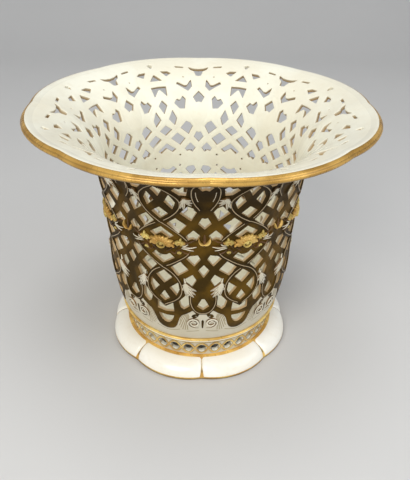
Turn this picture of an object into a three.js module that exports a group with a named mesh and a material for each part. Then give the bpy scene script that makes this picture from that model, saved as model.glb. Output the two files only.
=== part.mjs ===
// Porcelain basket with a pierced strapwork wall, a flared gilt rim, a pierced collar and a lobed foot.
// Millimetres, +Z up, the foot stands on z = 0. Axis A of the first repeat faces -Y.
import * as THREE from "three";

// Overall pattern
const repeats = 8;                 // lobes of the rim and foot, and repeats of the strapwork
const halfRepeat = 180 / repeats;  // degrees from axis A, where two lobes meet, to axis B, a lobe's middle
const edgeSteps = 4;               // straight steps along half a repeat
const seat = 0.3;                  // air between pieces that are luted together

// Foot and collar
const footRadius = 85;
const footHeight = 15.2;
const footNotch = 2.8;             // how far the foot draws in where two petals meet
const footEdge = 3;                // height of its rounded lower edge, and how far that is set back
const footFlat = 1.4;              // level seat that it keeps on both sides of the collar
const footBore = 58;
const footBoreHeight = 6;
const collarFootRadius = 67;
const collarHeight = 18.4;
const collarWall = 4;
const collarInset = 1.6;           // how far its top lies in from the wall's foot
const collarHoles = 36;
const collarHoleHeight = 8.4;
const collarHoleShare = 0.72;      // width of a hole as a share of its pitch

// Base plate with the gilt moulding on its edge
const plateOverhang = 1.2;         // how far the moulding stands out from the wall's foot
const plateThickness = 4.8;
const plateBead = 2;
const plateUpright = 0.4;          // share of its edge that stands upright between the two slopes

// Wall: radii of its outside, heights above the floor
const wallFootRadius = 72;
const waistRadius = 80.5;
const waistHeight = 100;
const shoulderRadius = 86;
const shoulderHeight = 177;
const flareRadius = 130.4;
const flareHeight = 218.6;
const wallThickness = 3.5;
const wallNotch = 1.6;             // draw-in of the wall on axis A
const rimNotch = 2.8;              // draw-in of the rim on axis A

// How the wall's curve leaves and reaches its foot, waist, shoulder and edge
const footSpread = 5.3;
const footReach = 15;
const waistReach = 24.5;
const shoulderLean = 2.4;
const shoulderReach = 21.5;
const throatLean = 3;                // the same handle above the shoulder
const throatReach = 14.2;
const edgeReach = 30;
const edgeRise = 9;

// Rows of the pattern, counted up the wall: its foot, the luted seam, the shoulder and the flare's edge
const footRow = 9.4;
const seamRow = 33.2;              // behind the garland
const shoulderRow = 42;
const edgeRow = 59.5;

// Gilt lip on the flare's edge
const lipHeight = 7.4;
const lipReach = 8.2;              // how far it stands out past the wall's edge

// Relief pieces
const leafRelief = 2.2;
const reliefEdge = 0.5;            // height of a leaf's or swag's edge, as a share of its middle
const rosetteRadius = 8.4;
const rosetteRelief = 4.6;
const rosetteDip = 0.82;           // its radius between two petals, as a share
const rosetteFall = 0.72;          // share of its relief that is lost from the middle to a petal's tip
const rosetteRow = 33.4;
const garlandRelief = 2.8;
const scrollRadius = 5.8;
const scrollBand = 1.9;
const scrollRelief = 1.6;
const scrollTurns = 1.2;
const scrollWinding = 0.55;        // share of its radius by which the band has wound in at its inner end
const scrollRow = 14.6;

const collarTopRadius = wallFootRadius - collarInset;
const plateRadius = wallFootRadius + plateOverhang;
const plateTop = footHeight + seat + collarHeight + seat + plateThickness;
const wallFoot = plateTop + seat;
const degrees = Math.PI / 180;

// Materials
function glaze(name, color, roughness, metalness = 0) {
  return new THREE.MeshStandardMaterial({ name, color, roughness, metalness });
}
const white = () => glaze("white glaze", 0xefe6d2, 0.18);
const gilt = () => glaze("burnished gold", 0xc79a4b, 0.25, 0.9);
const giltRelief = () => glaze("chased gold", 0xa9823c, 0.4, 0.8);

// Distance from axis B, 0 there and 1 on axis A
function lobeShare(theta) {
  const inRepeat = ((theta % (2 * halfRepeat)) + 2 * halfRepeat) % (2 * halfRepeat);
  return Math.abs(inRepeat - halfRepeat) / halfRepeat;
}

function onCircle(theta, radius, height) {
  const angle = theta * degrees;
  return new THREE.Vector3(radius * Math.sin(angle), -radius * Math.cos(angle), height);
}

// Outside of the wall as one curve of radius and height
const wallProfile = new THREE.CurvePath();
const footPoint = new THREE.Vector2(wallFootRadius, wallFoot);
const waistPoint = new THREE.Vector2(waistRadius, waistHeight);
const shoulderPoint = new THREE.Vector2(shoulderRadius, shoulderHeight);
const flarePoint = new THREE.Vector2(flareRadius, flareHeight);
wallProfile.add(new THREE.CubicBezierCurve(
  footPoint,
  new THREE.Vector2(wallFootRadius + footSpread, wallFoot + footReach),
  new THREE.Vector2(waistRadius, waistHeight - waistReach),
  waistPoint));
wallProfile.add(new THREE.CubicBezierCurve(
  waistPoint,
  new THREE.Vector2(waistRadius, waistHeight + waistReach),
  new THREE.Vector2(shoulderRadius - shoulderLean, shoulderHeight - shoulderReach),
  shoulderPoint));
wallProfile.add(new THREE.CubicBezierCurve(
  shoulderPoint,
  new THREE.Vector2(shoulderRadius + throatLean, shoulderHeight + throatReach),
  new THREE.Vector2(flareRadius - edgeReach, flareHeight - edgeRise),
  flarePoint));
const [, shoulderLength, profileLength] = wallProfile.getCurveLengths();

// Distance up along the wall from its foot to a row of the pattern
function alongRow(rows) {
  if (rows < shoulderRow) return shoulderLength * (rows - footRow) / (shoulderRow - footRow);
  const share = (rows - shoulderRow) / (edgeRow - shoulderRow);
  return shoulderLength + (profileLength - shoulderLength) * share;
}

// Point of the wall: angle, distance up along the profile, distance out from the outside face
function onWall(theta, along, out) {
  const share = THREE.MathUtils.clamp(along / profileLength, 0, 1);
  const point = wallProfile.getPoint(share);
  const step = 0.004;
  const before = wallProfile.getPoint(Math.max(share - step, 0));
  const after = wallProfile.getPoint(Math.min(share + step, 1));
  const way = after.sub(before).normalize();
  const rising = THREE.MathUtils.smoothstep(point.y, wallFoot, waistHeight);
  const flaring = THREE.MathUtils.smoothstep(point.y, shoulderHeight, flareHeight);
  const notch = wallNotch * rising + (rimNotch - wallNotch) * flaring;
  const drawn = point.x - notch * lobeShare(theta) ** 2;
  return onCircle(theta, drawn + way.y * out, point.y - way.x * out);
}

// Flat drawings: points of angle and distance along, turned into triangles whose corners are as even as can be
function evenOut(points, faces) {
  const flat = points.map(([theta, along]) => new THREE.Vector2(theta * degrees * waistRadius, along));
  const area = (a, b, c) => (flat[b].x - flat[a].x) * (flat[c].y - flat[a].y)
    - (flat[c].x - flat[a].x) * (flat[b].y - flat[a].y);
  const corner = (tip, a, b) => {
    const toA = flat[a].clone().sub(flat[tip]);
    const toB = flat[b].clone().sub(flat[tip]);
    return Math.atan2(Math.abs(toA.cross(toB)), toA.dot(toB));
  };
  let changed = true;
  for (let round = 0; changed && round < 80; round += 1) {
    changed = false;
    const edges = new Map();
    faces.forEach((face, index) => {
      for (let side = 0; side < 3; side += 1) {
        edges.set(`${face[side]}_${face[(side + 1) % 3]}`, [index, face[(side + 2) % 3]]);
      }
    });
    const touched = new Set();
    for (const [key, [left, tipLeft]] of edges) {
      const [a, b] = key.split("_").map(Number);
      const twin = edges.get(`${b}_${a}`);
      if (!twin || touched.has(left) || touched.has(twin[0])) continue;
      const [right, tipRight] = twin;
      const wide = corner(tipLeft, a, b) + corner(tipRight, a, b) > Math.PI + 1e-6;
      const convex = area(tipLeft, tipRight, b) > 1e-6 && area(tipRight, tipLeft, a) > 1e-6;
      if (!wide || !convex) continue;
      faces[left] = [tipLeft, tipRight, b];
      faces[right] = [tipRight, tipLeft, a];
      touched.add(left);
      touched.add(right);
      changed = true;
    }
  }
  return faces;
}

function facingOut(points, faces) {
  const turned = faces.map(([a, b, c]) => {
    const [p, q, r] = [points[a], points[b], points[c]];
    const turn = (q[0] - p[0]) * (r[1] - p[1]) - (r[0] - p[0]) * (q[1] - p[1]);
    return turn >= 0 ? [a, b, c] : [a, c, b];
  });
  return { points, faces: turned };
}

// The drawing is barrelled by a hair while it is cut up, so that points along a straight side are kept
function triangulate(outline, holes = [], inner = []) {
  const box = new THREE.Box2().setFromPoints(outline.map(([x, y]) => new THREE.Vector2(x, y)));
  const middle = box.getCenter(new THREE.Vector2());
  const reach = box.getSize(new THREE.Vector2()).multiplyScalar(0.5);
  const barrelled = (list) => list.map(([x, y]) => {
    const across = (x - middle.x) / reach.x;
    const up = (y - middle.y) / reach.y;
    return new THREE.Vector2(across * (1 - 1e-4 * up ** 2), up * (1 - 1e-4 * across ** 2));
  });
  const rings = [...holes, ...inner.map((point) => [point])];
  const points = [...outline, ...rings.flat()];
  const found = THREE.ShapeUtils.triangulateShape(barrelled(outline), rings.map(barrelled));
  const drawing = facingOut(points, found);
  return { points, faces: evenOut(points, drawing.faces) };
}

// Closed solid between the front and the back of a flat drawing
function solidFrom({ points, faces }, front, back) {
  const count = points.length;
  const place = [...points.map(front), ...points.map(back)];
  const directed = new Set(faces.flatMap(([a, b, c]) => [`${a}_${b}`, `${b}_${c}`, `${c}_${a}`]));
  const index = [];
  for (const [a, b, c] of faces) {
    index.push(a, b, c, count + a, count + c, count + b);
    for (const [start, end] of [[a, b], [b, c], [c, a]]) {
      if (directed.has(`${end}_${start}`)) continue;
      index.push(start, count + start, count + end, start, count + end, end);
    }
  }
  const geometry = new THREE.BufferGeometry();
  geometry.setAttribute("position", new THREE.Float32BufferAttribute(place.flatMap((p) => p.toArray()), 3));
  geometry.setIndex(index);
  return geometry;
}

// Half a repeat, mirrored and repeated all round, with the shared points joined
function allRound({ points, faces }, half) {
  const turns = Math.round(180 / half);
  const merged = new Map();
  const allPoints = [];
  const allFaces = [];
  const pointIndex = (theta, along) => {
    const turned = Math.round(((theta + 360) % 360) * 1000) % 360000;
    const key = `${turned}_${Math.round(along * 1000)}`;
    if (!merged.has(key)) {
      merged.set(key, allPoints.length);
      allPoints.push([theta, along]);
    }
    return merged.get(key);
  };
  for (let turn = 0; turn < turns; turn += 1) {
    for (const side of [1, -1]) {
      const place = points.map(([theta, along]) => pointIndex(turn * 2 * half + side * theta, along));
      for (const [a, b, c] of faces) {
        allFaces.push(side > 0 ? [place[a], place[b], place[c]] : [place[a], place[c], place[b]]);
      }
    }
  }
  return { points: allPoints, faces: allFaces };
}

// Outline of half a repeat whose two sides carry notches: the halves of openings on the axes
function halfOutline(half, low, high, steps, onA, onB) {
  const outline = [];
  for (let step = 0; step <= steps; step += 1) outline.push([half * step / steps, low]);
  for (const opening of onB) outline.push(...opening);
  for (let step = steps; step >= 0; step -= 1) outline.push([half * step / steps, high]);
  for (const opening of [...onA].reverse()) outline.push(...[...opening].reverse());
  return outline;
}

// The strapwork's openings, each an outline of degrees from axis A and pattern rows.
// Lists on the axes hold half an opening, from its lowest point to its highest.
const B = halfRepeat;
const lowerOnA = [
  [[0, 14.5]],
  [[0, 18.4], [3.5, 19.4], [0.8, 21.1], [0, 21.1]],
  [[0, 23.5]],
  [[0, 26.2], [3.1, 27.9], [0, 29.1]],
];
const lowerOnB = [
  [[B, 14.2], [19.9, 14.6], [17.4, 16.4], [B, 16.3]],
  [[B, 17.3], [17.2, 17.6], [17.7, 19.8], [B, 18.5]],
  [[B, 20.1], [19.4, 21], [B, 22.6]],
  [[B, 24.4], [17.6, 26], [B, 27.4]],
  [[B, 29.1], [15.9, 30.6], [18.5, 31.5], [20.5, 31], [B, 30.9]],
];
const lowerInside = [
  [[11.2, 18.5], [8, 19.4], [8.5, 22.1], [9.9, 22.1], [14.1, 20.2]],
  [[15.4, 21.8], [13.7, 23.2], [14.4, 24.9], [19.4, 23.5]],
  [[7, 23.8], [4, 25.6], [6.2, 26.9], [11.1, 25.7], [11.2, 24.6]],
  [[14, 26.6], [8.4, 28], [12.8, 29.8], [18.4, 28.3]],
  [[5.3, 28.9], [1.9, 30.4], [3.4, 31.4], [7.6, 31.2], [9.5, 30.6]],
];
const lowerSolid = [[6, 14.5], [12, 14.5]];
const upperOnA = [
  [[0, 35.4]],
  [[0, 37.1], [3.3, 38.3], [1.4, 39.5], [0, 39.3]],
  [[0, 42]],
  [[0, 44.5]],
  [[0, 46.6], [1.6, 46.3], [3.4, 47.6], [0, 49.2]],
  [[0, 53.6], [1.3, 53.7], [2.2, 55.1], [5, 56.6], [0, 56]],
];
const upperOnB = [
  [[B, 35.9], [18.3, 34.9], [15.9, 35.5], [B, 37.1]],
  [[B, 38.9], [18.1, 40.1], [B, 41.2]],
  [[B, 43.8], [19.8, 45.8], [B, 47.1]],
  [[B, 50.1], [18.7, 48], [18.2, 50.6], [B, 50.7]],
  [[B, 52.4], [19.3, 52.4], [B, 54.4]],
];
const upperInside = [
  [[4.3, 34.7], [2.2, 35.7], [5.7, 36.9], [9.5, 35.6], [8.3, 34.9]],
  [[12.8, 36.4], [9.1, 37.9], [14.7, 39.3], [18.9, 38.1]],
  [[6.8, 38.9], [4.1, 40.7], [5.9, 41.5], [8.4, 41.9], [12.3, 40.4]],
  [[15.9, 41.1], [14.4, 42.6], [17, 44.6], [19.8, 42.5]],
  [[8.9, 44.8], [8, 47.1], [9.6, 47.9], [11.4, 46.8], [13.3, 47.2], [15.1, 46.2], [12.2, 44.9]],
  [[6.1, 49.2], [3.8, 50.4], [4.2, 52.4], [7, 50.6], [11.5, 51.7], [12.3, 51.1]],
  [[16.5, 53.6], [13.7, 54.6], [15.4, 55.3], [18.8, 55.4]],
];
const upperSolid = [[4.4, 44], [10, 43.4]];

const inRows = (list) => list.map(([theta, rows]) => [theta, alongRow(rows)]);

function piercedWall(low, high, onA, onB, inside, solid) {
  const outline = halfOutline(halfRepeat, low, high, edgeSteps, onA.map(inRows), onB.map(inRows));
  const half = triangulate(outline, inside.map(inRows), inRows(solid));
  return solidFrom(allRound(half, halfRepeat),
    ([theta, along]) => onWall(theta, along, 0),
    ([theta, along]) => onWall(theta, along, -wallThickness));
}

function lowerWall() {
  return piercedWall(0, alongRow(seamRow) - seat / 2, lowerOnA, lowerOnB, lowerInside, lowerSolid);
}

function upperWall() {
  return piercedWall(alongRow(seamRow) + seat / 2, profileLength, upperOnA, upperOnB, upperInside, upperSolid);
}

// Rings turned from a closed profile, drawn in where two lobes meet
function lobedRing(profile, notchAt) {
  const turned = new THREE.LatheGeometry(profile, 2 * edgeSteps * repeats);
  const place = turned.getAttribute("position");
  for (let i = 0; i < place.count; i += 1) {
    const [x, height, z] = [place.getX(i), place.getY(i), place.getZ(i)];
    const radius = Math.hypot(x, z);
    const theta = Math.atan2(x, z) / degrees;
    const point = onCircle(theta, radius - notchAt(radius, height) * lobeShare(theta) ** 2, height);
    place.setXYZ(i, point.x, point.y, point.z);
  }
  return turned;
}

function giltLip() {
  const way = new THREE.Vector2(edgeReach, edgeRise).normalize();
  const across = new THREE.Vector2(-way.y, way.x);
  const middle = flarePoint.clone().addScaledVector(across, wallThickness / 2).addScaledVector(way, seat);
  const profile = [];
  const roundSteps = 4;
  for (let step = 0; step <= roundSteps; step += 1) {
    const angle = -Math.PI / 2 + Math.PI * step / roundSteps;
    const onEdge = middle.clone().addScaledVector(across, lipHeight / 2 * Math.sin(angle));
    profile.push(new THREE.Vector2(onEdge.x + lipReach * Math.cos(angle), onEdge.y));
  }
  profile.push(profile[0].clone());
  return lobedRing(profile, () => rimNotch);
}

function footRing() {
  const seatRadius = collarFootRadius + footFlat;
  const petalLength = footRadius - seatRadius;
  const petalRise = footHeight - footEdge;
  const petal = [0, 45, 90].map((angle) => [
    seatRadius + petalLength * Math.cos(angle * degrees), footEdge + petalRise * Math.sin(angle * degrees),
  ]);
  const profile = [
    [footBore, 0], [footRadius - footEdge, 0], ...petal,
    [collarFootRadius - collarWall - footFlat, footHeight], [footBore, footBoreHeight], [footBore, 0],
  ].map(([radius, height]) => new THREE.Vector2(radius, height));
  const inPetal = (radius) => THREE.MathUtils.clamp((radius - seatRadius) / petalLength, 0, 1);
  return lobedRing(profile, (radius) => footNotch * inPetal(radius));
}

// Collar: a band of oval openings between the foot and the base plate
function piercedCollar() {
  const half = 180 / collarHoles;
  const low = footHeight + seat;
  const middle = low + collarHeight / 2;
  const halfWidth = half * collarHoleShare;
  const halfHeight = collarHoleHeight / 2;
  const oval = [-90, -30, 30, 90].map((angle) => [
    Math.abs(angle) === 90 ? 0 : halfWidth * Math.cos(angle * degrees),
    middle + halfHeight * Math.sin(angle * degrees),
  ]);
  const outline = halfOutline(half, low, low + collarHeight, 1, [oval], []);
  const at = (inset) => ([theta, height]) => {
    const share = (height - low) / collarHeight;
    return onCircle(theta, THREE.MathUtils.lerp(collarFootRadius, collarTopRadius, share) - inset, height);
  };
  return solidFrom(allRound(triangulate(outline), half), at(0), at(collarWall));
}

function basePlate() {
  const top = plateTop;
  const low = top - plateThickness;
  const slope = plateThickness * (1 - plateUpright) / 2;
  const profile = [
    [0, low], [plateRadius - plateBead, low], [plateRadius, low + slope], [plateRadius, top - slope],
    [plateRadius - plateBead, top], [0, top],
  ].map(([radius, height]) => new THREE.Vector2(radius, height));
  return lobedRing(profile, () => 0);
}

// Relief pieces: a flat drawing laid on the wall, its points lifted by their relief
function laidOn(theta, { points, faces }, relief) {
  const height = points.map(relief);
  return solidFrom({ points, faces },
    ([x, along], i) => onWall(theta + x, along, seat + height[i]),
    ([x, along]) => onWall(theta + x, along, seat));
}

// Turns millimetres round a middle point on the wall into degrees and distance along
function roundMiddle(rows, points) {
  const middle = onWall(0, alongRow(rows), 0);
  const radius = Math.hypot(middle.x, middle.y);
  return points.map(([x, y]) => [x / radius / degrees, alongRow(rows) + y]);
}

function rosette(theta) {
  const petals = 8;
  const outline = [];
  for (let step = 0; step < petals * 2; step += 1) {
    const radius = step % 2 ? rosetteRadius * rosetteDip : rosetteRadius;
    const angle = Math.PI * step / petals;
    outline.push([radius * Math.cos(angle), radius * Math.sin(angle)]);
  }
  const { points, faces } = triangulate(outline, [], [[0, 0]]);
  const relief = points.map(([x, y]) => rosetteRelief * (1 - rosetteFall * Math.hypot(x, y) / rosetteRadius));
  return laidOn(theta, { points: roundMiddle(rosetteRow, points), faces }, (_, i) => relief[i]);
}

// One swag of the garland, from rosette to rosette over the knot on axis A
function swag(theta) {
  const side = [
    [0, 34.3], [3, 34.6], [6.4, 34.2], [9.6, 34.7], [13.6, 34.3], [15.4, 33.6], [13.4, 32.1], [9.6, 31.7],
    [6.2, 32.2], [3.2, 31.8], [0, 32.3],
  ];
  const outline = [...side, ...side.slice(1, -1).reverse().map(([x, rows]) => [-x, rows])].reverse();
  const ridge = [-10.5, -5.5, 0, 5.5, 10.5].map((x) => [x, seamRow]);
  const drawing = triangulate(inRows(outline), [], inRows(ridge));
  return laidOn(theta, drawing, (_, i) => garlandRelief * (i < outline.length ? reliefEdge : 1));
}

// Pair of white volutes: a band winds inwards on each side of axis A, and the two touch on it
function scrollPair(theta) {
  const steps = 7;
  const touch = 2;
  const points = [];
  const faces = [];
  for (const side of [1, -1]) {
    const first = points.length;
    for (let step = 0; step <= steps; step += 1) {
      const angle = -0.5 * Math.PI - scrollTurns * 2 * Math.PI * step / steps;
      const middle = scrollRadius - scrollBand / 2 - scrollRadius * scrollWinding * step / steps;
      for (const radius of [middle + scrollBand / 2, middle - scrollBand / 2]) {
        points.push([side * (scrollRadius + seat + radius * Math.cos(angle)), radius * Math.sin(angle)]);
      }
      if (step === 0) continue;
      const at = first + step * 2;
      faces.push([at - 2, at, at + 1], [at - 2, at + 1, at - 1]);
    }
  }
  const right = touch * 2;
  const left = right + (steps + 1) * 2;
  faces.push([right, left, left + 2], [right, left + 2, right + 2]);
  return laidOn(theta, facingOut(roundMiddle(scrollRow, points), faces), () => scrollRelief);
}

// Acanthus leaf beside axis A, its outline from the stem and round by its lobes
function leaf(theta, side) {
  const outline = [
    [8.7, 25.1], [6.8, 23.7], [4.1, 23.9], [4.8, 22.9], [3.9, 22.1], [5.8, 21.3], [7.8, 22.3], [9.5, 21.2],
    [10.3, 22.4], [12.4, 22.7], [11.6, 24],
  ];
  const rib = [8.4, 23.2];
  const { points, faces } = triangulate(inRows(outline), [], inRows([rib]));
  const drawing = facingOut(points.map(([x, along]) => [side * x, along]), faces);
  return laidOn(theta, drawing, (_, i) => leafRelief * (i < outline.length ? reliefEdge : 1));
}

const basket = new THREE.Group();
function piece(name, geometry, material) {
  const mesh = new THREE.Mesh(geometry, material);
  mesh.name = name;
  basket.add(mesh);
}

piece("lobed_foot", footRing(), white());
piece("pierced_collar", piercedCollar(), white());
piece("base_plate", basePlate(), white());
piece("lower_wall", lowerWall(), white());
piece("upper_wall", upperWall(), white());
piece("gilt_lip", giltLip(), gilt());
for (let turn = 0; turn < repeats; turn += 1) {
  const axisA = turn * 2 * halfRepeat;
  piece(`rosette_${turn + 1}`, rosette(axisA + halfRepeat), giltRelief());
  piece(`swag_${turn + 1}`, swag(axisA), giltRelief());
  piece(`scroll_pair_${turn + 1}`, scrollPair(axisA), white());
  piece(`leaf_${turn + 1}_left`, leaf(axisA, -1), white());
  piece(`leaf_${turn + 1}_right`, leaf(axisA, 1), white());
}

export default basket;
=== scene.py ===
import math

import bpy
import numpy as np
from mathutils import Matrix, Vector
from mathutils.geometry import delaunay_2d_cdt


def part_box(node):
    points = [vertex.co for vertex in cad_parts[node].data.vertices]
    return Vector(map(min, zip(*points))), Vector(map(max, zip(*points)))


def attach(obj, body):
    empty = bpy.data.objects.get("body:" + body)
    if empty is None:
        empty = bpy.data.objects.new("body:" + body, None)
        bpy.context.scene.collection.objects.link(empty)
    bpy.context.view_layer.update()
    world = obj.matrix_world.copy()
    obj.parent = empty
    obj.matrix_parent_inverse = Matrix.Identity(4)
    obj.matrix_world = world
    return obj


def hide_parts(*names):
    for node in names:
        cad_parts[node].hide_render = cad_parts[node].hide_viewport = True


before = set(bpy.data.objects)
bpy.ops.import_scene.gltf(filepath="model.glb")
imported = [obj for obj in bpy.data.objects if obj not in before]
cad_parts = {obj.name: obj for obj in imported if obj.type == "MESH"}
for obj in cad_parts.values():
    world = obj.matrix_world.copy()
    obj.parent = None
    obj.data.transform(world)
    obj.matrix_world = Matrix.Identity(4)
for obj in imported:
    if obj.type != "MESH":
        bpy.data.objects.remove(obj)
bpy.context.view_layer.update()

# Drawings are in millimetres; meshes are made in metres.
MM = 0.001


def span(node):
    """Lowest and highest corner of a CAD node, in millimetres."""
    low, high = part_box(node)
    return np.array(low) / MM, np.array(high) / MM


# Pattern: axis A, where two lobes meet, faces -Y at 0 degrees; axis B is a lobe's middle.
REPEATS = 8
PITCH = 360 / REPEATS
HALF = PITCH / 2

# Foot and collar
FOOT_RADIUS = 85
FOOT_NOTCH = 2.8
FOOT_EDGE = 3
FOOT_FLAT = 1.4
FOOT_BORE = 58
FOOT_TOP = span("lobed_foot")[1][2]
COLLAR_FOOT_RADIUS = 67
COLLAR_WALL = 4
COLLAR_HOLES = 36
COLLAR_HOLE_SHARE = 0.69
COLLAR_HOLE_HALF = 4.2
COLLAR_INSET = 1.6
COLLAR_LOW, COLLAR_TOP = (corner[2] for corner in span("pierced_collar"))

# Wall outside: radius and height of its foot, waist, shoulder and flared edge
WALL_FOOT = (72, span("lower_wall")[0][2])
WAIST = (80.5, 100)
SHOULDER = (86, 177)
FLARE = (130.4, 218.6)
WALL_THICKNESS = 3.5
WALL_NOTCH = 1.6
RIM_NOTCH = 2.8

# How the wall's curve leaves and reaches these places: sideways and up
FOOT_HANDLE = (5.3, 15)
WAIST_HANDLE = (0, 24.5)
SHOULDER_HANDLE = (-2.4, -21.5)
THROAT_HANDLE = (3, 14.2)
EDGE_HANDLE = (30, 9)
EDGE_WAY = np.array(EDGE_HANDLE) / math.hypot(*EDGE_HANDLE)

# Rows of the pattern, counted up the wall
FOOT_ROW = 9.4
SHOULDER_ROW = 42
EDGE_ROW = 59.5

COLLAR_TOP_RADIUS = WALL_FOOT[0] - COLLAR_INSET
PLATE_RADIUS = span("base_plate")[1][0]
PLATE_LOW, PLATE_TOP = (corner[2] for corner in span("base_plate"))
ACROSS = math.radians(1) * WAIST[0]   # drawing millimetres for one degree


# Curves

def bezier(a, b, c, d, count=300):
    t = np.linspace(0, 1, count)[:, None]
    return a * (1 - t) ** 3 + 3 * b * t * (1 - t) ** 2 + 3 * c * t ** 2 * (1 - t) + d * t ** 3


def wall_curve():
    """Profile of the outside: points, length up to each, way up it, and the length up to the shoulder."""
    foot, waist, shoulder, edge = (np.array(place, float) for place in (WALL_FOOT, WAIST, SHOULDER, FLARE))
    spans = [
        bezier(foot, foot + FOOT_HANDLE, waist - WAIST_HANDLE, waist),
        bezier(waist, waist + WAIST_HANDLE, shoulder + SHOULDER_HANDLE, shoulder),
        bezier(shoulder, shoulder + THROAT_HANDLE, edge - EDGE_HANDLE, edge),
    ]
    points = np.vstack([spans[0], spans[1][1:], spans[2][1:]])
    length = np.concatenate([[0], np.cumsum(np.linalg.norm(np.diff(points, axis=0), axis=1))])
    way = np.gradient(points, length, axis=0)
    way /= np.linalg.norm(way, axis=1)[:, None]
    return points, length, way, length[len(spans[0]) + len(spans[1]) - 2]


CURVE, CURVE_LENGTH, CURVE_WAY, SHOULDER_LENGTH = wall_curve()
PROFILE_LENGTH = CURVE_LENGTH[-1]


def along_row(rows):
    """Distance up along the wall to a row of the pattern."""
    rows = np.asarray(rows, float)
    below = SHOULDER_LENGTH * (rows - FOOT_ROW) / (SHOULDER_ROW - FOOT_ROW)
    share = (rows - SHOULDER_ROW) / (EDGE_ROW - SHOULDER_ROW)
    return np.where(rows < SHOULDER_ROW, below, SHOULDER_LENGTH + (PROFILE_LENGTH - SHOULDER_LENGTH) * share)


def smoothstep(x, low, high):
    t = np.clip((x - low) / (high - low), 0, 1)
    return t * t * (3 - 2 * t)


def lobe_share(theta):
    """0 on axis B, 1 on axis A."""
    return np.abs(np.mod(theta, PITCH) - HALF) / HALF


def on_circle(theta, radius, height):
    angle = np.radians(theta)
    return np.stack([radius * np.sin(angle), -radius * np.cos(angle), height + 0 * angle], -1)


def on_wall(theta, along, out):
    """Points of the wall: angle, distance up along the profile, distance out from its outside."""
    radius, height, way_r, way_z = (
        np.interp(along, CURVE_LENGTH, values)
        for values in (CURVE[:, 0], CURVE[:, 1], CURVE_WAY[:, 0], CURVE_WAY[:, 1])
    )
    notch = WALL_NOTCH * smoothstep(height, WALL_FOOT[1], WAIST[1])
    notch = notch + (RIM_NOTCH - WALL_NOTCH) * smoothstep(height, SHOULDER[1], FLARE[1])
    drawn_in = radius - notch * lobe_share(theta) ** 2
    return on_circle(theta, drawn_in + way_z * out, height - way_r * out)


def on_collar(theta, height, out):
    share = (height - COLLAR_LOW) / (COLLAR_TOP - COLLAR_LOW)
    radius = COLLAR_FOOT_RADIUS + (COLLAR_TOP_RADIUS - COLLAR_FOOT_RADIUS) * share
    return on_circle(theta, radius + out, height)


def drawn(points):
    """Degrees and rows to drawing millimetres."""
    points = np.array(points, float)
    return np.column_stack([points[:, 0] * ACROSS, along_row(points[:, 1])])


def smooth_line(corners, step=1.3):
    """Catmull-Rom curve through the corners, a point every step."""
    corners = np.array(corners, float)
    before = np.vstack([2 * corners[0] - corners[1], corners[:-1]])
    after = np.vstack([corners[1:], 2 * corners[-1] - corners[-2]])
    line = [corners[0]]
    for i in range(len(corners) - 1):
        p0, p1, p2, p3 = before[i], corners[i], corners[i + 1], after[i + 1]
        count = max(2, int(np.linalg.norm(p2 - p1) / step + 0.5))
        for t in np.linspace(0, 1, count + 1)[1:]:
            line.append(0.5 * (2 * p1 + (p2 - p0) * t + (2 * p0 - 5 * p1 + 4 * p2 - p3) * t ** 2
                               + (3 * p1 - 3 * p2 + p3 - p0) * t ** 3))
    return np.array(line)


def offset_line(line, distance):
    way = np.gradient(line, axis=0)
    way /= np.linalg.norm(way, axis=1)[:, None]
    return line + distance * np.column_stack([-way[:, 1], way[:, 0]])


# Limits of a rounded corner: its turn in radians, its cut as a share of a side, its least cut
SHARPEST_TURN = 2.6
LONGEST_CUT = 0.45
SMALLEST_CUT = 0.05


def rounded(corners, radius, step=1.4, hollow=None):
    """Closed outline with rounded corners and no side longer than step. Hollow is the radius of its inward
    corners."""
    loop = []
    after = np.roll(corners, -1, axis=0)
    area = np.sum(corners[:, 0] * after[:, 1] - after[:, 0] * corners[:, 1])
    for i, here in enumerate(corners):
        back, on = corners[i - 1] - here, after[i] - here
        back_length, on_length = np.linalg.norm(back), np.linalg.norm(on)
        back, on = back / back_length, on / on_length
        turn = min(math.acos(float(np.clip(-back @ on, -1, 1))), SHARPEST_TURN)
        inward = (on[0] * back[1] - on[1] * back[0]) * area < 0
        bend = hollow if inward and hollow else radius
        cut = min(bend * math.tan(turn / 2), LONGEST_CUT * back_length, LONGEST_CUT * on_length)
        if cut < SMALLEST_CUT:
            loop.append(here)
            continue
        start, end = here + back * cut, here + on * cut
        loop += [start * (1 - t) ** 2 + 2 * here * t * (1 - t) + end * t ** 2 for t in np.linspace(0, 1, 5)]
    fine = []
    for here, on in zip(loop, loop[1:] + loop[:1]):
        pieces = max(1, math.ceil(np.linalg.norm(on - here) / step - 0.01))
        fine.extend(here + (on - here) * j / pieces for j in range(pieces))
    return np.array(fine)


def widened(loop, distance):
    """Closed outline moved outwards by a distance."""
    after = np.roll(loop, -1, axis=0) - loop
    normal = np.column_stack([after[:, 1], -after[:, 0]]) / np.linalg.norm(after, axis=1)[:, None]
    x, y = loop[:, 0], loop[:, 1]
    if np.sum(x * np.roll(y, -1) - np.roll(x, -1) * y) < 0:
        normal = -normal
    both = normal + np.roll(normal, 1, axis=0)
    share = np.linalg.norm(both, axis=1)[:, None] / 2
    return loop + distance * both / (2 * share * np.maximum(share, 0.75))


def distance_to(lines, points):
    """Shortest distance from each point to any of the lines."""
    best = np.full(len(points), 1e9)
    for line in lines:
        for a, b in zip(line[:-1], line[1:]):
            way = b - a
            share = np.clip(((points - a) @ way) / max(way @ way, 1e-9), 0, 1)
            best = np.minimum(best, np.linalg.norm(points - a - share[:, None] * way, axis=1))
    return best


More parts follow.
